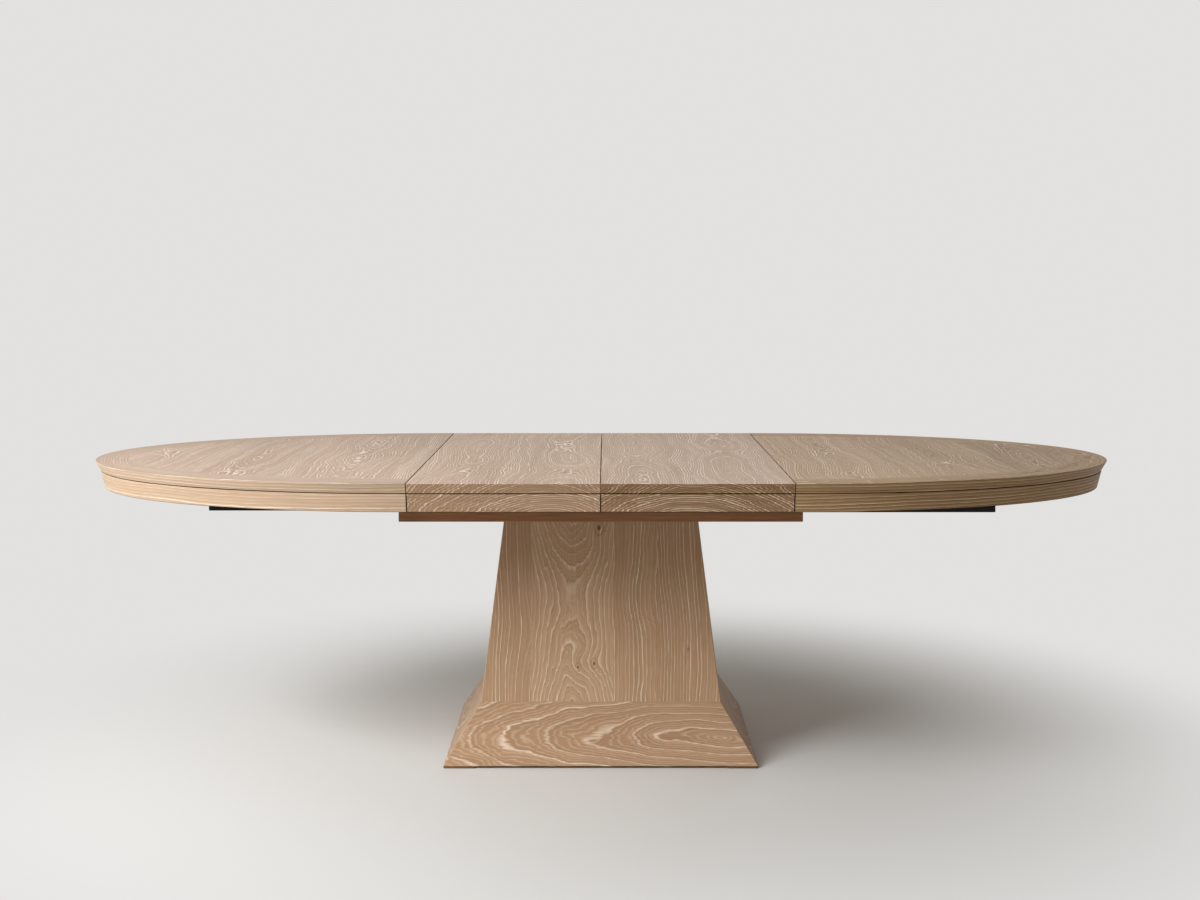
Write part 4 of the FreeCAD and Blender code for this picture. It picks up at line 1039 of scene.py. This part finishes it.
# The right end's band and lipping also get more late wood than the left's, which darkens them: more painted
# shade.
BAND_LOOK = {
    end: {
        "Line width": 1.0, "Heart depth": 0.050, "Heart swing": 0.04, "Sway": 0.020, "Rag": 0.6,
        "Lime": 1.0, "Late wood": late_wood,
    }
    for end, late_wood in (("right", 0.55), ("left", 0.45))
}
LIPPING_LOOK = {
    end: {
        "Line width": 1.0, "Heart depth": 0.040, "Heart swing": 0.03, "Sway": 0.008, "Rag": 0.35,
        "Lime": 0.9, "Late wood": late_wood,
    }
    for end, late_wood in (("right", 0.80), ("left", 0.40))
}
END_SEED = {"right": 60, "left": 80}
END_JOINTS = {"right": (0.745, 1.040), "left": (-1.075, -0.790)}
END_HEARTS = {"right": (0.62, 0.90, 1.15), "left": (-1.21, -0.92, -0.64)}
BAND_HEART = {"right": 0.710, "left": 0.600}
LIPPING_HEART = 0.600
BAND_SEED_STEP = 7
LIPPING_SEED_STEP = 9
TOP_RINGS = 0.0062
BAND_RINGS = 0.006
LIPPING_RINGS = 0.0075
TOP_SECTION = (
    (HALF_WIDTH, TABLE_HEIGHT),
    (BAND_WIDTH, TABLE_HEIGHT),
    (ARRIS, TABLE_HEIGHT),
    (0.0, TABLE_HEIGHT - ARRIS),
    (EDGE_UNDERCUT, TOP_UNDER + ARRIS),
    (EDGE_UNDERCUT + ARRIS, TOP_UNDER),
    (HALF_WIDTH, TOP_UNDER),
)
backing_veneer = plain_wood("backing_veneer", (206, 178, 148), (182, 150, 118), "Y")
# Painted shade: near-black for the seam faces, the grooves and the aprons' lower arrises, where shade falls
# between parts.
seam_painted_shade = plain_wood("seam_dark_stain", (46, 28, 16), (30, 18, 10), "Y", 0.8)
# Painted shade: brown for the arrises along the top of the seams, where the seam line shows.
seam_arris_painted_shade = plain_wood("seam_arris_brown_stain", (118, 86, 60), (88, 62, 42), "Y", 0.7)
# An end top's materials by number
FIELD, BAND, LIPPING, SEAM_FACE, UNDERSIDE, SEAM_TOP_ARRIS = range(6)

for end, hand in ENDS:
    seed = END_SEED[end]
    field = limed_oak(
        f"{end}_end_top_limed_oak", "X", "Y", END_JOINTS[end], END_HEARTS[end], seed, TOP_RINGS, TOP_LOOK,
        END_OAK_PAINTED_LIGHT_AND_SHADE[end],
    )
    band = half_oval_oak(
        f"{end}_end_band_limed_oak", hand, True, BAND_HEART[end], seed + BAND_SEED_STEP, BAND_RINGS,
        BAND_LOOK[end], BAND_OAK_PAINTED_LIGHT_AND_SHADE[end],
    )
    lipping = half_oval_oak(
        f"{end}_end_lipping_limed_oak", hand, False, LIPPING_HEART, seed + LIPPING_SEED_STEP,
        LIPPING_RINGS, LIPPING_LOOK[end], LIPPING_OAK_PAINTED_SHEEN_AND_SHADE[end],
    )
    mesh = ease_seam(half_oval(f"{end}_end_top", TOP_SECTION, False, field))
    place_end(mesh, hand)
    set_materials(mesh, field, band, lipping, seam_painted_shade, backing_veneer, seam_arris_painted_shade)
    for face in mesh.polygons:
        x = (hand * face.center.x - SEAM) / (END_LENGTH - BAND_WIDTH)
        y = face.center.y / (HALF_WIDTH - BAND_WIDTH)
        if faces_down(face):
            face.material_index = UNDERSIDE
        # Seam faces get the near-black painted shade, and their top arrises the brown painted shade.
        elif is_at_seam(face, hand):
            face.material_index = SEAM_TOP_ARRIS if face.normal.z > 0.5 else SEAM_FACE
        elif math.hypot(x, y) > 1.0 and face.normal.z > 0.3:
            face.material_index = BAND
        elif abs(face.normal.z) < 0.9:
            face.material_index = LIPPING
    add_piece(f"{end}_end_top_panel", mesh, f"{end}_end", f"{end}_end_top")

# End aprons: a bent band of oak under each top, set back from its edge, with a groove where they meet, its
# faces painted dark as painted shade.
# Its face leans inwards, its grain runs round the oval, and its lower arris is painted dark, painted shade.

APRON_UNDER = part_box("right_end_apron")[0].z
GROOVE_UNDER = 0.7345
GROOVE_INSET = 0.017
APRON_HEAD_INSET = 0.01365
APRON_FOOT_INSET = 0.025
APRON_BACK_INSET = 0.047
APRON_SECTION = (
    (GROOVE_INSET, TOP_UNDER),
    (GROOVE_INSET, GROOVE_UNDER),
    (APRON_HEAD_INSET + ARRIS, GROOVE_UNDER),
    (APRON_HEAD_INSET + ARRIS / 4, GROOVE_UNDER - ARRIS),
    (APRON_FOOT_INSET - ARRIS / 4, APRON_UNDER + ARRIS),
    (APRON_FOOT_INSET + ARRIS, APRON_UNDER),
    (APRON_BACK_INSET, APRON_UNDER),
    (APRON_BACK_INSET, TOP_UNDER),
)
APRON_SEED = {"right": 96, "left": 94}
apron_backing = plain_wood("apron_backing_oak", (196, 166, 134), (170, 138, 106), "X")
# An apron's materials by number
FACE, PAINTED_SHADE_FACE, BACKING = range(3)


def gets_painted_shade(face):
    """Whether a face lies in the groove at an apron's top or is the arris at its foot, both given painted
    shade.
    """
    in_groove = GROOVE_UNDER + 0.0001 < face.center.z < TOP_UNDER - 0.0001
    at_foot = -0.9 < face.normal.z < -0.4 and face.center.z < APRON_UNDER + ARRIS
    return in_groove or at_foot


for end, hand in ENDS:
    # Each apron takes its end's lipping copy, with its painted light and shade.
    bent_oak = half_oval_oak(
        f"{end}_end_apron_limed_oak", hand, False, LIPPING_HEART, APRON_SEED[end], LIPPING_RINGS,
        LIPPING_LOOK[end], LIPPING_OAK_PAINTED_SHEEN_AND_SHADE[end],
    )
    mesh = ease_seam(half_oval(f"{end}_end_apron", APRON_SECTION, True, bent_oak))
    place_end(mesh, hand)
    set_materials(mesh, bent_oak, seam_painted_shade, apron_backing)
    for face in mesh.polygons:
        if is_at_seam(face, hand) or gets_painted_shade(face):
            face.material_index = PAINTED_SHADE_FACE
        elif faces_down(face):
            face.material_index = BACKING
    add_piece(f"{end}_end_apron_band", mesh, f"{end}_end", f"{end}_end_apron")

# Leaves: two loose panels with their grain from front to back, undercut and grooved as the ends are.
# Slots in their edges take the seam pins.

LEAF_EDGE_SEED_STEP = 5
LEAF_APRON_SEED_STEP = 8
LEAF_SEED = {"right": 110, "left": 120}
LEAF_JOINTS = {"right": (0.225,), "left": (-0.235,)}
LEAF_HEARTS = {"right": (0.105, 0.335), "left": (-0.340, -0.095)}
LEAF_EDGE_ARCH = {"right": 0.21, "left": -0.14}
LEAF_EDGE_SLOPE = 0.45
LEAF_EDGE_HEART = 0.690
LEAF_EDGE_RINGS = 0.0042
# Each leaf's edge and aprons have their own copies of the oak: the left leaf's are painted lighter and the
# right leaf's darker, painted light and shade from the lamp at the left.
LEAF_EDGE_OAK_PAINTED_LIGHT_AND_SHADE = {
    "right": ((151, 113, 77), (110, 76, 43), (217, 194, 162)),
    "left": ((164, 128, 95), (120, 86, 56), (231, 211, 187)),
}
LEAF_APRON_HEART = 0.650
LEAF_APRON_EDGE = 0.03
LEAF_APRON_RINGS = 0.0045
LEAF_APRON_OAK_PAINTED_LIGHT_AND_SHADE = {
    "right": ((167, 130, 95), (123, 88, 56), (235, 214, 187)),
    "left": ((178, 142, 110), (136, 102, 72), (240, 222, 199)),
}
LEAF_EDGE_LOOK = {
    "Line width": 1.3, "Depth slope": LEAF_EDGE_SLOPE, "Heart swing": 0.03, "Sway": 0.020, "Rag": 0.35,
    "Lime": 1.0, "Late wood": 0.40,
}
# A leaf top's materials by number
LEAF_FIELD, LEAF_EDGE, LEAF_SEAM, LEAF_UNDERSIDE, LEAF_SEAM_ARRIS = range(5)

for leaf in ("right", "left"):
    seed = LEAF_SEED[leaf]
    # Both leaf tops take the left end's lighter copy, with its painted light.
    field = limed_oak(
        f"{leaf}_leaf_top_limed_oak", "X", "Y", LEAF_JOINTS[leaf], LEAF_HEARTS[leaf], seed, TOP_RINGS,
        TOP_LOOK, END_OAK_PAINTED_LIGHT_AND_SHADE["left"],
    )
    edge_look = {**LEAF_EDGE_LOOK, "Heart depth": -LEAF_EDGE_SLOPE * LEAF_EDGE_ARCH[leaf]}
    edge = limed_oak(
        f"{leaf}_leaf_edge_limed_oak", "Z", "X", (), (LEAF_EDGE_HEART,), seed + LEAF_EDGE_SEED_STEP,
        LEAF_EDGE_RINGS, edge_look, LEAF_EDGE_OAK_PAINTED_LIGHT_AND_SHADE[leaf],
    )
    top = planed_copy(
        f"{leaf}_leaf_top", SEAM_ARRIS, LONG_EDGE, field, edge, seam_painted_shade, backing_veneer, seam_arris_painted_shade
    )
    for face in top.polygons:
        if faces_down(face):
            face.material_index = LEAF_UNDERSIDE
        # Seam faces get the near-black painted shade, and their top arrises the brown painted shade.
        elif abs(face.normal.x) > 0.5:
            face.material_index = LEAF_SEAM_ARRIS if face.normal.z > 0.5 else LEAF_SEAM
        elif face.normal.z < 0.3:
            face.material_index = LEAF_EDGE
    add_piece(f"{leaf}_leaf_top_panel", top, f"{leaf}_leaf", f"{leaf}_leaf_top")
    for side in ("front", "back"):
        name = f"{leaf}_leaf_{side}_apron"
        oak = limed_oak(
            f"{name}_limed_oak", "Z", "X", (), (LEAF_APRON_HEART,), seed + LEAF_APRON_SEED_STEP,
            LEAF_APRON_RINGS, edge_look, LEAF_APRON_OAK_PAINTED_LIGHT_AND_SHADE[leaf],
        )
        # The apron's seam faces, groove and lower arris get the near-black painted shade.
        apron = planed_copy(name, SEAM_ARRIS, LEAF_APRON_EDGE, oak, seam_painted_shade, apron_backing)
        for face in apron.polygons:
            if abs(face.normal.x) > 0.5 or gets_painted_shade(face):
                face.material_index = PAINTED_SHADE_FACE
            elif faces_down(face):
                face.material_index = BACKING
        add_piece(f"{name}_rail", apron, f"{leaf}_leaf", name)

# Seam pins: turned brass pins glued into one side of each seam, that enter slots on the other side.
# They keep the tops level.

PIN_RADIUS = 0.004
PIN_TIP = 0.0025
PIN_TAPER = 0.55
PIN_SHARES = (0.26, 0.79)
brass = metal("turned_brass", (196, 160, 96), 0.3)

pin_tree, given = new_tree("turned_pins", "Radius", "Length", "Tip", "Turn")
shank_length = minus(given["Length"], given["Tip"])
values = {"Vertices": 32, "Radius": given["Radius"], "Depth": shank_length}
shank = linked("GeometryNodeMeshCylinder", values)
tip_radius = times(given["Radius"], PIN_TAPER)
values = {"Vertices": 32, "Radius Top": tip_radius, "Radius Bottom": given["Radius"], "Depth": given["Tip"]}
tip = raised(linked("GeometryNodeMeshCone", values), times(shank_length, 0.5))
solid = linked("GeometryNodeMeshBoolean", {"Mesh 2": shank}, operation="UNION")
fill(solid.node, {"Mesh 2": tip})
finish_tree(placed(solid, given, Y=given["Turn"]), given)

for name, body, hand in (
    ("right_seam_pins", "right_end", -1),
    ("left_seam_pins", "left_end", 1),
    ("right_leaf_seam_pins", "right_leaf", -1),
):
    low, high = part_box(name)
    middle = (low.x + high.x) / 2 - hand * PIN_TIP / 2
    height = (low.z + high.z) / 2
    places = [(middle, side * share * HALF_WIDTH, height) for side in (-1, 1) for share in PIN_SHARES]
    pins = grow(
        name, pin_tree, places,
        radius=PIN_RADIUS, length=high.x - low.x, tip=PIN_TIP, turn=hand * math.pi / 2, material=brass,
    )
    add_piece(f"{name}_turned", tidy(pins, 30), body, name)

# Table locks: steel levers under one side of each seam, whose slots close round studs on the other side.
# They turn on plates screwed under the tops.

LEVER_ARRIS = 0.0006
LEVER_EDGE = 0.01

finish_cad(
    steel, "right_lock_pivots", "left_lock_pivots", "right_leaf_lock_pivots", "right_leaf_lock_studs",
    "left_leaf_lock_studs",
)
for seam in ("right", "left", "middle"):
    for side in ("front", "back"):
        name = f"{seam}_{side}_lock_lever"
        lever = planed_copy(name, LEVER_ARRIS, LEVER_EDGE, steel)
        add_piece(f"{name}_eased", lever, name, name)

low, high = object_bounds()
